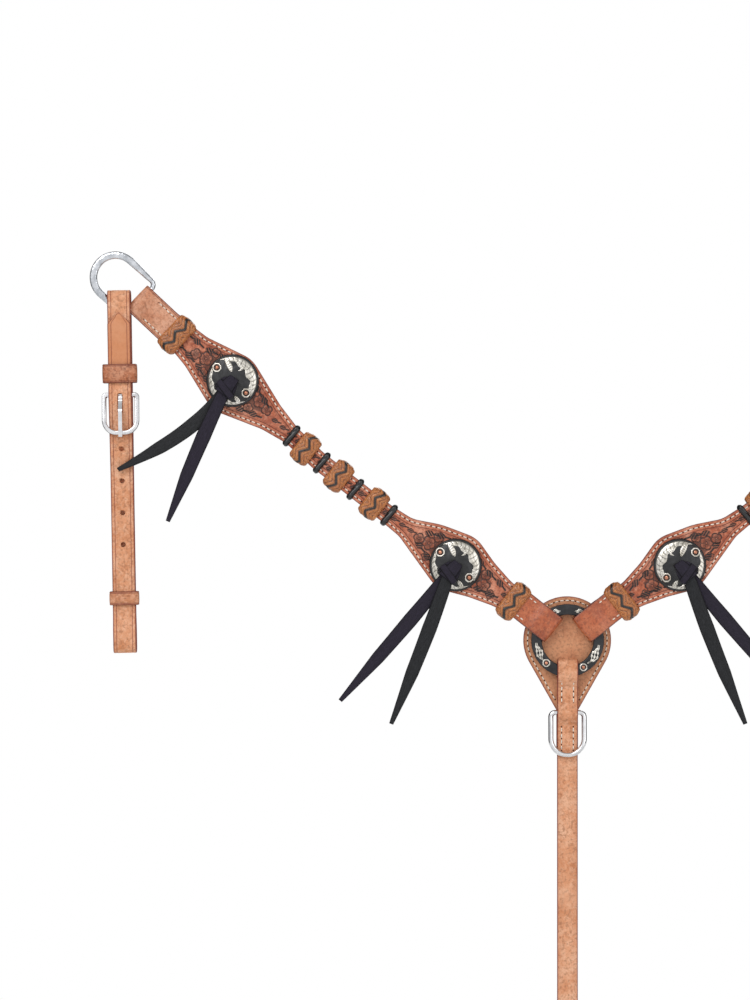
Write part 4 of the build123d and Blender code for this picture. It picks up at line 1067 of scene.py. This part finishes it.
def make_conchos():
    silver = joined([concho_silver()] + [on_dome(ROSETTE, x, z) for x, z in ROSETTE_SPOTS])
    copper = joined([on_dome(BEAD, x, z) for x, z in ROSETTE_SPOTS])
    for name, spot in CONCHO_SPOTS.items():
        place = (spot[0], CONCHO_BACK, spot[2])
        pair(f"{name}_concho", concho_plate().moved(place), BLACK_METAL, "arm", "antiqued_metal")
        pair(f"{name}_concho_silver", silver.moved(place), SILVER, "arm", "engraved_silver")
        pair(f"{name}_concho_copper", copper.moved(place), COPPER, "arm", "engraved_silver")


# ---------------------------------------------------------------- strings tied through the conchos

STRING_THICKNESS = 2.0
KNOT_BACK = CONCHO_BACK - CONCHO_HEIGHT - 0.2
FRONT_TAIL = KNOT_BACK - 1.0 - STRING_THICKNESS - 2 * GAP
KNOT_FRONT = FRONT_TAIL - STRING_THICKNESS - GAP
TAIL_WIDTHS = (0, 0.08, 0.36, 0.66, 1.0), (4.6, 5.2, 5.9, 5.2, 1.7)
TAILS = {"outer_tail_1": (107, 217, 9.6), "outer_tail_2": (115, 246.5, -1.2),
         "inner_tail_1": (133, 229.5, 1.0), "inner_tail_2": (128, 249, 1.6)}
KNOTS = (("outer", -38, (GRAINED_STRING, SMOOTH_STRING)), ("inner", -40, (SMOOTH_STRING, GRAINED_STRING)))
# A knot's straps: points (across, up, depth), half width at the start, what it gains and to what power,
# and which way the width points (right, up).
KNOT_STRAPS = (
    ([(0.4, 8.9, KNOT_BACK + 0.6), (0.3, 9.6, KNOT_FRONT + 0.6), (0, 3.0, KNOT_FRONT - 0.9),
      (-0.3, -4.6, KNOT_FRONT - 0.2)], 3.0, 3.4, 0.7, (1, 0.05)),
    ([(-6.4, 1.2, KNOT_FRONT + 0.4), (-4.4, 0.6, KNOT_FRONT - 1.1), (4.4, -1.6, KNOT_FRONT - 1.3),
      (6.5, -2.4, KNOT_FRONT + 0.4)], 3.1, 0, 1, (0.18, 1)),
    ([(-1.6, 8.6, KNOT_BACK + 0.4), (-4.6, 7.0, FRONT_TAIL - 0.6), (-6.2, 2.4, FRONT_TAIL - 1.6),
      (-5.2, -2.4, KNOT_FRONT + 0.3)], 1.6, 1.5, 1, (0.9, 0.45)),
    ([(1.8, 8.8, KNOT_BACK + 0.4), (4.4, 7.2, FRONT_TAIL - 0.4), (6.0, 2.4, FRONT_TAIL - 1.5),
      (5.4, -2.4, KNOT_FRONT + 0.3)], 1.4, 1.5, 1, (0.9, -0.45)))


def facing(angle):
    """Unit vectors of the front view at an angle: ahead, and to its left."""
    return (np.array((math.cos(angle), 0, math.sin(angle))), np.array((-math.sin(angle), 0, math.cos(angle))))


def tail(pivot, depth, length, heading, sag):
    """A string's tail: a flat strap that narrows to a blunt tip and bends a little."""
    share = np.linspace(0, 1, 90)
    ahead, side = facing(math.radians(heading))
    bend = sag * 4 * share * (1 - share) * (1 - 0.5 * share)
    path = pivot + ahead * (share * length)[:, None] + side * bend[:, None]
    path[:, 1] = depth + 0.12 * np.sin(share * 9)
    return ribbon(path, side, np.interp(share, *TAIL_WIDTHS), 1.7, crown=0.12)


def knot(pivot, turn):
    """The fold out of the slot, the wrap over the tails, the bight and the other end."""
    right, up = facing(math.radians(turn))
    forms = []
    for points, start, gain, power, (to_right, upwards) in KNOT_STRAPS:
        across, rise, depth = (column[:, None] for column in curve(points, 36).T)
        path = pivot * (1, 0, 1) + right * across + up * rise - FRONT * depth
        half = start + gain * np.linspace(0, 1, 36) ** power
        forms.append(ribbon(path, right * to_right + up * upwards, half, 1.5, crown=0.35))
    return joined(forms)


def make_strings():
    for name, turn, leathers in KNOTS:
        pivot = joint_point(f"left_{name}_tail_1_swing")
        for number, material in enumerate(leathers, start=1):
            label = f"{name}_tail_{number}"
            low, high = node_box(f"left_{label}")
            pair(label, tail(pivot, (low[1] + high[1]) / 2, *TAILS[label]), material, label, "black_leather")
        pair(f"{name}_string_knot", knot(pivot, turn), SMOOTH_STRING, "arm", "black_leather")


# ---------------------------------------------------------------- shoulder rings

SHOULDER_REACH, SHOULDER_HALF, SHOULDER_CORNER = 27.3, 17.7, 5.0
SHOULDER_BAR = 1.9           # the round bar's radius
BROADER, THICKER = 1.05, 0.1  # what the bow's half width and half thickness have more
TAPER_START, TAPER = 3, 24
SQUARENESS = 3.4


def shoulder_ring_outline():
    """The dee's centre line: its round top corner, a leg, the arc, a leg, a corner and the straight bar."""
    straight = SHOULDER_HALF - SHOULDER_CORNER
    arc = [(SHOULDER_REACH + SHOULDER_HALF * math.sin(a), SHOULDER_HALF * math.cos(a))
           for a in np.linspace(0, math.pi, 60)]
    corner = [(SHOULDER_CORNER * (1 - math.sin(a)), straight + SHOULDER_CORNER * math.cos(a))
              for a in np.linspace(math.pi / 2, 0, 10)]
    leg = [(x, SHOULDER_HALF) for x in np.linspace(SHOULDER_CORNER, SHOULDER_REACH, 25)[1:-1]]
    bar = [(0.0, y) for y in np.linspace(-straight, straight, 21)[1:-1]]
    back = [(x, -y) for x, y in (corner + leg)[::-1]]
    return np.array(corner + leg + arc + back + bar)


def make_shoulder_rings():
    """A dee of flat hammered stock that tapers into its round bar."""
    flat = shoulder_ring_outline()
    broad = np.clip((flat[:, :1] - TAPER_START) / TAPER, 0, 1)
    c, s = np.cos(turns(20)), np.sin(turns(20))
    square = 1 / (np.abs(c) ** SQUARENESS + np.abs(s) ** SQUARENESS) ** (1 / SQUARENESS)
    blend = square * broad + (1 - broad)
    offset, rise = c * blend * (SHOULDER_BAR + BROADER * broad), s * blend * (SHOULDER_BAR + THICKER * broad)
    spot = flat[:, None] - leftward(flat, closed=True)[:, None] * offset[..., None]
    points = arm_place(spot[..., 0], spot[..., 1], RING_MID - rise, SHOULDER_RISE, SHOULDER)
    pair("shoulder_ring", solid(points, ring=True), HAMMERED, "shoulder_ring", "engraved_silver")


# ---------------------------------------------------------------- straps with buckles

FOLD_REACH = WIRE + GAP + LEATHER / 2 + 0.1
TAB_STEP = LEATHER + LAID
BUCKLE_HEIGHT = 30.2
FIRST_HOLE, HOLE_PITCH, HOLE_BORE = 42.9, 25.4, 2.0
KEEPER_WALL = 1.9


def side_path(corners, radii, x):
    """A strap's centre line from rounded (depth, height) corners."""
    flat = rounded_path(corners, radii, step=1.5)
    return xyz(x, flat[:, 0], flat[:, 1])


def buckle_fold(main, bar, tab_length):
    """Corners and radii of a strap's end, from its main run down round a buckle's bar and up behind."""
    behind = main + TAB_STEP
    front, back = behind - FOLD_REACH, behind + FOLD_REACH
    corners = [(main, bar + 8.5), (front, bar + 2), (front, bar - 3.4), (back, bar - 3.4), (back, bar + 2),
               (behind, bar + 8.5), (behind, bar + tab_length)]
    return corners, [4, 4, 3.2, 3.2, 4, 4]


def billet_run(main, bar, tip_length):
    """Corners and radii of a billet from below the buckle, behind its far side and over its bar."""
    over = main - 1.3 - TAB_STEP + LAID / 2
    corners = [(main + 0.5, bar - BUCKLE_HEIGHT + 5.5), (over, bar - 6), (over, bar + 2.5),
               (main - TAB_STEP, bar + 8), (main - TAB_STEP, bar + tip_length)]
    return corners, [12, 12, 6, 6]


def pointed(path, half, tip):
    """Half widths along a strap that ends in a point at that height."""
    length = run_lengths(path)
    taper = np.clip(0.4 + (length[-1] - length) * 1.02, 0, half)
    return np.where(path[:, 2] > tip - half - 6, np.minimum(half, taper), half)


def slot_outline(x, z, length, width):
    half, angles = (length - width) / 2, np.linspace(0, math.pi, 9)
    arc = polar(width / 2, angles) + (0, half)
    return np.vstack([arc, -arc]) + (x, z)


def billet_cutters(x, main, bar, back, count):
    """A billet's punched holes, and the slot for the buckle's tongue."""
    holes = [prism(polar(HOLE_BORE, turns(20)) + (x, bar - FIRST_HOLE - HOLE_PITCH * k), main - 15, back)
             for k in range(count)]
    return holes + [prism(slot_outline(x, bar - 6.5, 16, 4.4), main - 16, main - 1.2)]


def keeper(x, depth, z, inside, height):
    """A leather keeper: a closed band with a crowned outside and creased edges."""
    flat = rounded_box(inside[0] + KEEPER_WALL, inside[1] + KEEPER_WALL, 1.7, 1.0)
    path = xyz(x + flat[:, 0], depth + flat[:, 1], z)
    return ribbon(path, (0, 0, 1), height / 2, KEEPER_WALL, crease=1.5, crease_depth=0.15, closed=True,
                  crown=0.12)


# ---------------------------------------------------------------- tugs

TUG_AXIS = JOINTS["left_tug_keeper_slide"]["axis"]
TUG_LEAN = math.atan2(TUG_AXIS[0], TUG_AXIS[2])
TUG_X, TUG_HALF, TUG_LENGTH = -357.4, 9.2, 280.8
TUG_SPREAD, TUG_CLOSED = 7.6, 2.5
TUG_MAIN, TUG_MIDDLE = RING_MID - TUG_SPREAD, -10.0
TUG_TIP = 65.5
TUG_BUCKLE = SHOULDER[2] - 75.34
TUG_PIVOT = np.array((TUG_X, 0.0, SHOULDER[2] - 6.84))


def leaned(shape):
    """Turns a shape to the left tug's lean."""
    x, y, z = (shape.points - TUG_PIVOT).T
    cosine, sine = math.cos(TUG_LEAN), math.sin(TUG_LEAN)
    turned_points = xyz(x * cosine + z * sine, y, z * cosine - x * sine) + TUG_PIVOT
    return Shape(turned_points, shape.faces, **shape.values)


def tug_path():
    """The tug's long loop: down behind the buckle, up through the ring and down to its folded end."""
    low, bar = SHOULDER[2] - TUG_LENGTH + LEATHER / 2, TUG_BUCKLE
    top = node_box("left_tug_strap")[1][2] - LEATHER / 2
    rear, front, back = RING_MID + TUG_SPREAD, TUG_MIDDLE - TUG_CLOSED, TUG_MIDDLE + TUG_CLOSED
    fold, fold_radii = buckle_fold(TUG_MAIN, bar, 40)
    billet, billet_radii = billet_run(TUG_MAIN, bar, TUG_TIP)
    loop = [(TUG_MAIN, top), (rear, top), (rear, bar + 19.5), (back, bar - 90.5), (back, low + 29),
            (TUG_MIDDLE + 5, low + 17), (TUG_MIDDLE + 5, low), (TUG_MIDDLE - 5, low),
            (TUG_MIDDLE - 5, low + 17), (front, low + 29), (front, bar - 61.5), (TUG_MAIN + 0.5, bar - 29.5)]
    radii = fold_radii[::-1] + [5, 5, 80, 80, 12, 12, 4.6, 4.6, 12, 12, 60, 12] + billet_radii
    return side_path(fold[::-1] + loop + billet, radii, TUG_X)


def make_tugs():
    path = tug_path()
    half = np.where(run_lengths(path) < 100, TUG_HALF, pointed(path, TUG_HALF, TUG_BUCKLE + TUG_TIP))
    strap = ribbon(path, (1, 0, 0), half, LEATHER, crease=2.9, flip=True)
    billet = (strap.points[:, 1] < TUG_MAIN - 1.15) & (strap.points[:, 2] > TUG_BUCKLE + 24)
    strap.values["tan"] = 0.85 * billet
    left, right = pair("tug_strap", leaned(strap), PLAIN, "tug", "plain_leather")
    cutters = [leaned(cutter) for cutter in billet_cutters(TUG_X, TUG_MAIN, TUG_BUCKLE, TUG_MIDDLE, 4)]
    cut(left, cutters)
    cut(right, [cutter.mirrored() for cutter in cutters])
    fixed = keeper(TUG_X, TUG_MAIN, TUG_BUCKLE + 17, (2 * TUG_HALF + 5, 3 * TAB_STEP + 0.6), 15)
    loose_inside = (2 * TUG_HALF + 1, 2 * TUG_CLOSED + LEATHER + 2 * GAP)
    loose = keeper(TUG_X, TUG_MIDDLE, SHOULDER[2] - TUG_LENGTH + 43.7, loose_inside, 11)
    pair("tug_keeper", leaned(fixed), KEEPER, "tug", "keeper_leather")
    pair("tug_loose_keeper", leaned(loose), LOOSE_KEEPER, "tug_loose_keeper", "keeper_leather")


# ---------------------------------------------------------------- yoke, centre strap and billet

YOKE_LOW, YOKE_HIGH = node_box("yoke_face")
YOKE_FRONT, YOKE_JOIN = YOKE_LOW[1], YOKE_HIGH[1]
YOKE_RADIUS = YOKE_HIGH[0]
SEAM_INSET = 3.2
STRAP_HALF = 8.25
STRAP_DEPTH = YOKE_FRONT - LEATHER / 2
STRAP_RUN = STRAP_DEPTH - TAB_STEP
STRAP_TOP = -16.1
DEE_HEIGHT = joint_point("tie_down_dee_swing")[2]
OVER_DEE = YOKE_FRONT - GAP - 2 * WIRE - 0.4 - LEATHER / 2
CINCH_MAIN, CINCH_TIP = -7.5, 66
CINCH_BAR = joint_point("cinch_buckle_tip")[2]
EYE_DEPTH = CINCH_MAIN + 1.7
EYE_BAR = joint_point("snap_eye_swing")[2]
EYE_SEWN = CINCH_MAIN + 0.5


def yoke_outline():
    """The yoke's edge, anticlockwise from the front: its disc, then the tail below."""
    tail_half, tail_start = STRAP_HALF + 0.3, -1.6 * YOKE_RADIUS
    lean = math.atan2(tail_start, tail_half) + math.acos(YOKE_RADIUS / math.hypot(tail_half, tail_start))
    disc = polar(YOKE_RADIUS, np.linspace(lean, math.pi - lean, 110))
    left = [(-tail_half, tail_start), (-tail_half, YOKE_LOW[2])]
    right = [(tail_half, YOKE_LOW[2]), (tail_half, tail_start)]
    corners = np.vstack([disc, left, right])
    outline = []
    for first, second in zip(corners, np.roll(corners, -1, axis=0)):
        parts = max(1, int(np.linalg.norm(second - first) / 2))
        outline += [first + (second - first) * k / parts for k in range(parts)]
    return np.array(outline)


def make_yoke_seams():
    """The seam round the yoke, front and back, and the rows that hold the centre strap on it."""
    outline = yoke_outline()
    seam = outline + leftward(outline, closed=True) * SEAM_INSET
    seam = np.roll(seam, -int(np.argmin(seam[:, 1])), axis=0)
    seam = seam[(np.abs(seam[:, 0]) > STRAP_HALF + 1.1) | (seam[:, 1] > 0)]
    lines = [(xyz(seam[:, 0], YOKE_FRONT, seam[:, 1]), FRONT), (xyz(seam[:, 0], 0, seam[:, 1]), -FRONT)]
    upper, lower = np.linspace(-32.5, -50, 12), np.linspace(-69, -88, 12)
    depths = np.interp(-upper, (31, 36.5, 50), (LOOP_FRONT, STRAP_RUN, STRAP_RUN)) - LEATHER / 2 - 0.1
    for side in (-1, 1):
        corner = xyz(np.array((side * 4.9, side * 7.8)), depths[0], np.array((-32.3, -32.0)))
        lines.append((xyz(side * 4.7, depths, upper), FRONT))
        lines.append((xyz(side * 4.7, STRAP_DEPTH - LEATHER / 2, lower), FRONT))
        lines.append((corner, FRONT))
    sew(piece, "yoke", lines, "yoke", "plain_leather")


def make_yoke():
    outline = yoke_outline()
    piece("yoke_face", plate(outline, YOKE_JOIN, YOKE_FRONT), YOKE, "yoke", "plain_leather")
    lining = plate(outline, node_box("yoke_lining")[1][1], YOKE_JOIN)
    piece("yoke_lining", lining, FLESH, "yoke", "lining_leather")


def make_centre_strap():
    """From the yoke up through the ring, down over the dee and round the cinch buckle's bar."""
    route = [(STRAP_DEPTH, -50), (STRAP_DEPTH, STRAP_TOP), (LOOP_FRONT, STRAP_TOP),
             (LOOP_FRONT, -RING_OUTER - 2), (STRAP_RUN, -RING_OUTER - 8), (STRAP_RUN, -50),
             (OVER_DEE, DEE_HEIGHT + 3), (OVER_DEE, DEE_HEIGHT - 3), (STRAP_DEPTH, DEE_HEIGHT - 9.5),
             (STRAP_DEPTH, -110), (CINCH_MAIN, -320)]
    fold, fold_radii = buckle_fold(CINCH_MAIN, CINCH_BAR, 40)
    path = side_path(route + fold, [2.6, 2.6, 4, 4, 4, 3, 3, 5, 100, 100] + fold_radii, 0)
    strap = ribbon(path, (1, 0, 0), STRAP_HALF, LEATHER, crease=2.9, crease_depth=0.18, flip=True,
                   burnish=2.2)
    made = piece("centre_strap", strap, PLAIN, "yoke", "plain_leather", ["centre_strap_top", "centre_strap"])
    cut(made, [prism(slot_outline(0, CINCH_BAR + 1, 17, 5.0), CINCH_MAIN - 2.35, CINCH_MAIN + 12)])


def make_billet():
    """From the snap's eye up behind the cinch buckle and over its bar, to a pointed tip."""
    billet, billet_radii = billet_run(CINCH_MAIN, CINCH_BAR, CINCH_TIP)
    front, back, sewn = EYE_DEPTH - FOLD_REACH, EYE_DEPTH + FOLD_REACH, EYE_SEWN + TAB_STEP
    eye_fold = [(sewn, EYE_BAR + 58), (sewn, EYE_BAR + 17), (back, EYE_BAR + 6), (back, EYE_BAR - 3.4),
                (front, EYE_BAR - 3.4), (front, EYE_BAR + 6), (EYE_SEWN, EYE_BAR + 17)]
    path = side_path(eye_fold + billet, [12, 6, 3.2, 3.2, 6, 12] + billet_radii, 0)
    half = pointed(path, STRAP_HALF, CINCH_BAR + CINCH_TIP)
    shape = ribbon(path, (1, 0, 0), half, LEATHER, crease=1.9, crease_depth=0.18, flip=True)
    made = piece("cinch_billet", shape, PLAIN, "yoke", "plain_leather")
    cut(made, billet_cutters(0, CINCH_MAIN, CINCH_BAR, CINCH_MAIN + 7, 2))
    heights = np.linspace(EYE_BAR + 20, EYE_BAR + 55, 12)
    lines = [(xyz(side * 5.6, EYE_SEWN - LEATHER / 2, heights), FRONT) for side in (-1, 1)]
    sew(piece, "billet", lines, "yoke", "plain_leather")


def make_cinch_keepers():
    width = 2 * STRAP_HALF
    fixed = keeper(0, CINCH_MAIN, CINCH_BAR + 16, (width + 3, 3 * TAB_STEP + 0.6), 13)
    loose = keeper(0, CINCH_MAIN - TAB_STEP / 2, CINCH_BAR + 49, (width + 1, 2 * TAB_STEP + 0.6), 11)
    piece("cinch_keeper", fixed, KEEPER, "yoke", "keeper_leather")
    piece("cinch_loose_keeper", loose, KEEPER, "cinch_loose_keeper", "keeper_leather")


# ---------------------------------------------------------------- the centre ring's ornaments

RING_INNER = 20.5
RING_MIDDLE = (RING_OUTER + RING_INNER) / 2
ORNAMENT_LEAVES = ((184, 219), (-8, -50), (118, 104), (62, 76))
ORNAMENT_ROSETTES = (226.5, -59.5)
VEIN_SECTION = ((-1, -0.3), (-0.9, 0.2), (-0.4, 0.36), (0.4, 0.36), (0.9, 0.2), (1, -0.3))


def ring_vein(spine, width):
    """A low rounded strip on the ring's face."""
    across, height = np.array(VEIN_SECTION).T
    flat = spine[:, None] + leftward(spine)[:, None] * (width[:, None] * across)[..., None]
    return solid(xyz(flat[..., 0], RING_FRONT - height, flat[..., 1]))


def ring_leaf(start, end):
    """A scroll of three engraved veins laid along part of the ring."""
    share = np.linspace(0, 1, 44)
    angle = np.radians(start + (end - start) * share)
    length = abs(math.radians(end - start)) * RING_MIDDLE
    veins = []
    for number, aside in enumerate((-1.9, 0.0, 1.9)):
        sway = aside * np.sin(math.pi * share ** 0.8) + 0.8 * np.sin(share * length * 0.55 + number)
        width = (0.55 + 0.35 * np.sin(share * length * 1.9 + number)) * np.sin(math.pi * share) ** 0.5 + 0.12
        veins.append(ring_vein(polar(RING_MIDDLE + sway, angle), width))
    return joined(veins)


def on_ring(form):
    """A small form at each place of a rosette on the ring."""
    spots = polar(RING_MIDDLE, np.radians(ORNAMENT_ROSETTES))
    return [form.stretched(0.85, 0.7, 0.85).moved((x, RING_FRONT + 0.35, z)) for x, z in spots]


def make_ring_ornaments():
    veins = [ring_leaf(*ends) for ends in ORNAMENT_LEAVES]
    piece("ring_ornaments", joined(veins + on_ring(ROSETTE)), SILVER, "centre_ring", "engraved_silver")
    piece("ring_beads", joined(on_ring(BEAD)), COPPER, "centre_ring", "engraved_silver")


# ---------------------------------------------------------------- the snap's spring, and CAD shapes kept

SPRING_WIRE, SPRING_TURNS = 0.34, 6
SPRING_ROOM = 0.42           # how far the wire's centre lies inside the spring's CAD shape
STEEL_NODES = ("tie_down_dee", "cinch_buckle", "cinch_tongue", "snap_eye", "snap_body", "snap_bolt",
               "left_tug_buckle", "right_tug_buckle", "left_tug_tongue", "right_tug_tongue")


def make_snap_spring():
    """A wound spring, made as one fixed shape; the real spring closes up as the bolt is drawn."""
    low, high = node_box("snap_spring")
    middle = (low + high) / 2
    angle = np.linspace(0, 2 * math.pi * SPRING_TURNS, SPRING_TURNS * 22)[:, None]
    height = np.linspace(low[2] + SPRING_WIRE, high[2] - SPRING_WIRE, len(angle))[:, None]
    reach = (high[0] - low[0]) / 2 - SPRING_ROOM + SPRING_WIRE * np.cos(turns(8))
    wire = solid(xyz(middle[0] + reach * np.cos(angle), middle[1] + reach * np.sin(angle),
                     height + SPRING_WIRE * np.sin(turns(8))))
    made = piece("snap_spring", wire, STEEL, "snap_body", "spring_wire")
    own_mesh(made)


def finish_cad(node, material):
    """Gives a CAD node its finish."""
    mesh = frame["nodes"][node].data
    mesh.materials.clear()
    mesh.materials.append(material)


make_camera()
make_lights()
make_world()
make_floor()
make_arms()
make_loops()
make_bands()
make_conchos()
make_strings()
make_shoulder_rings()
make_tugs()
make_yoke()
make_centre_strap()
make_yoke_seams()
make_billet()
make_cinch_keepers()
make_ring_ornaments()
make_snap_spring()
for steel_node in STEEL_NODES:
    finish_cad(steel_node, STEEL)
finish_cad("centre_ring", BLACK_METAL)
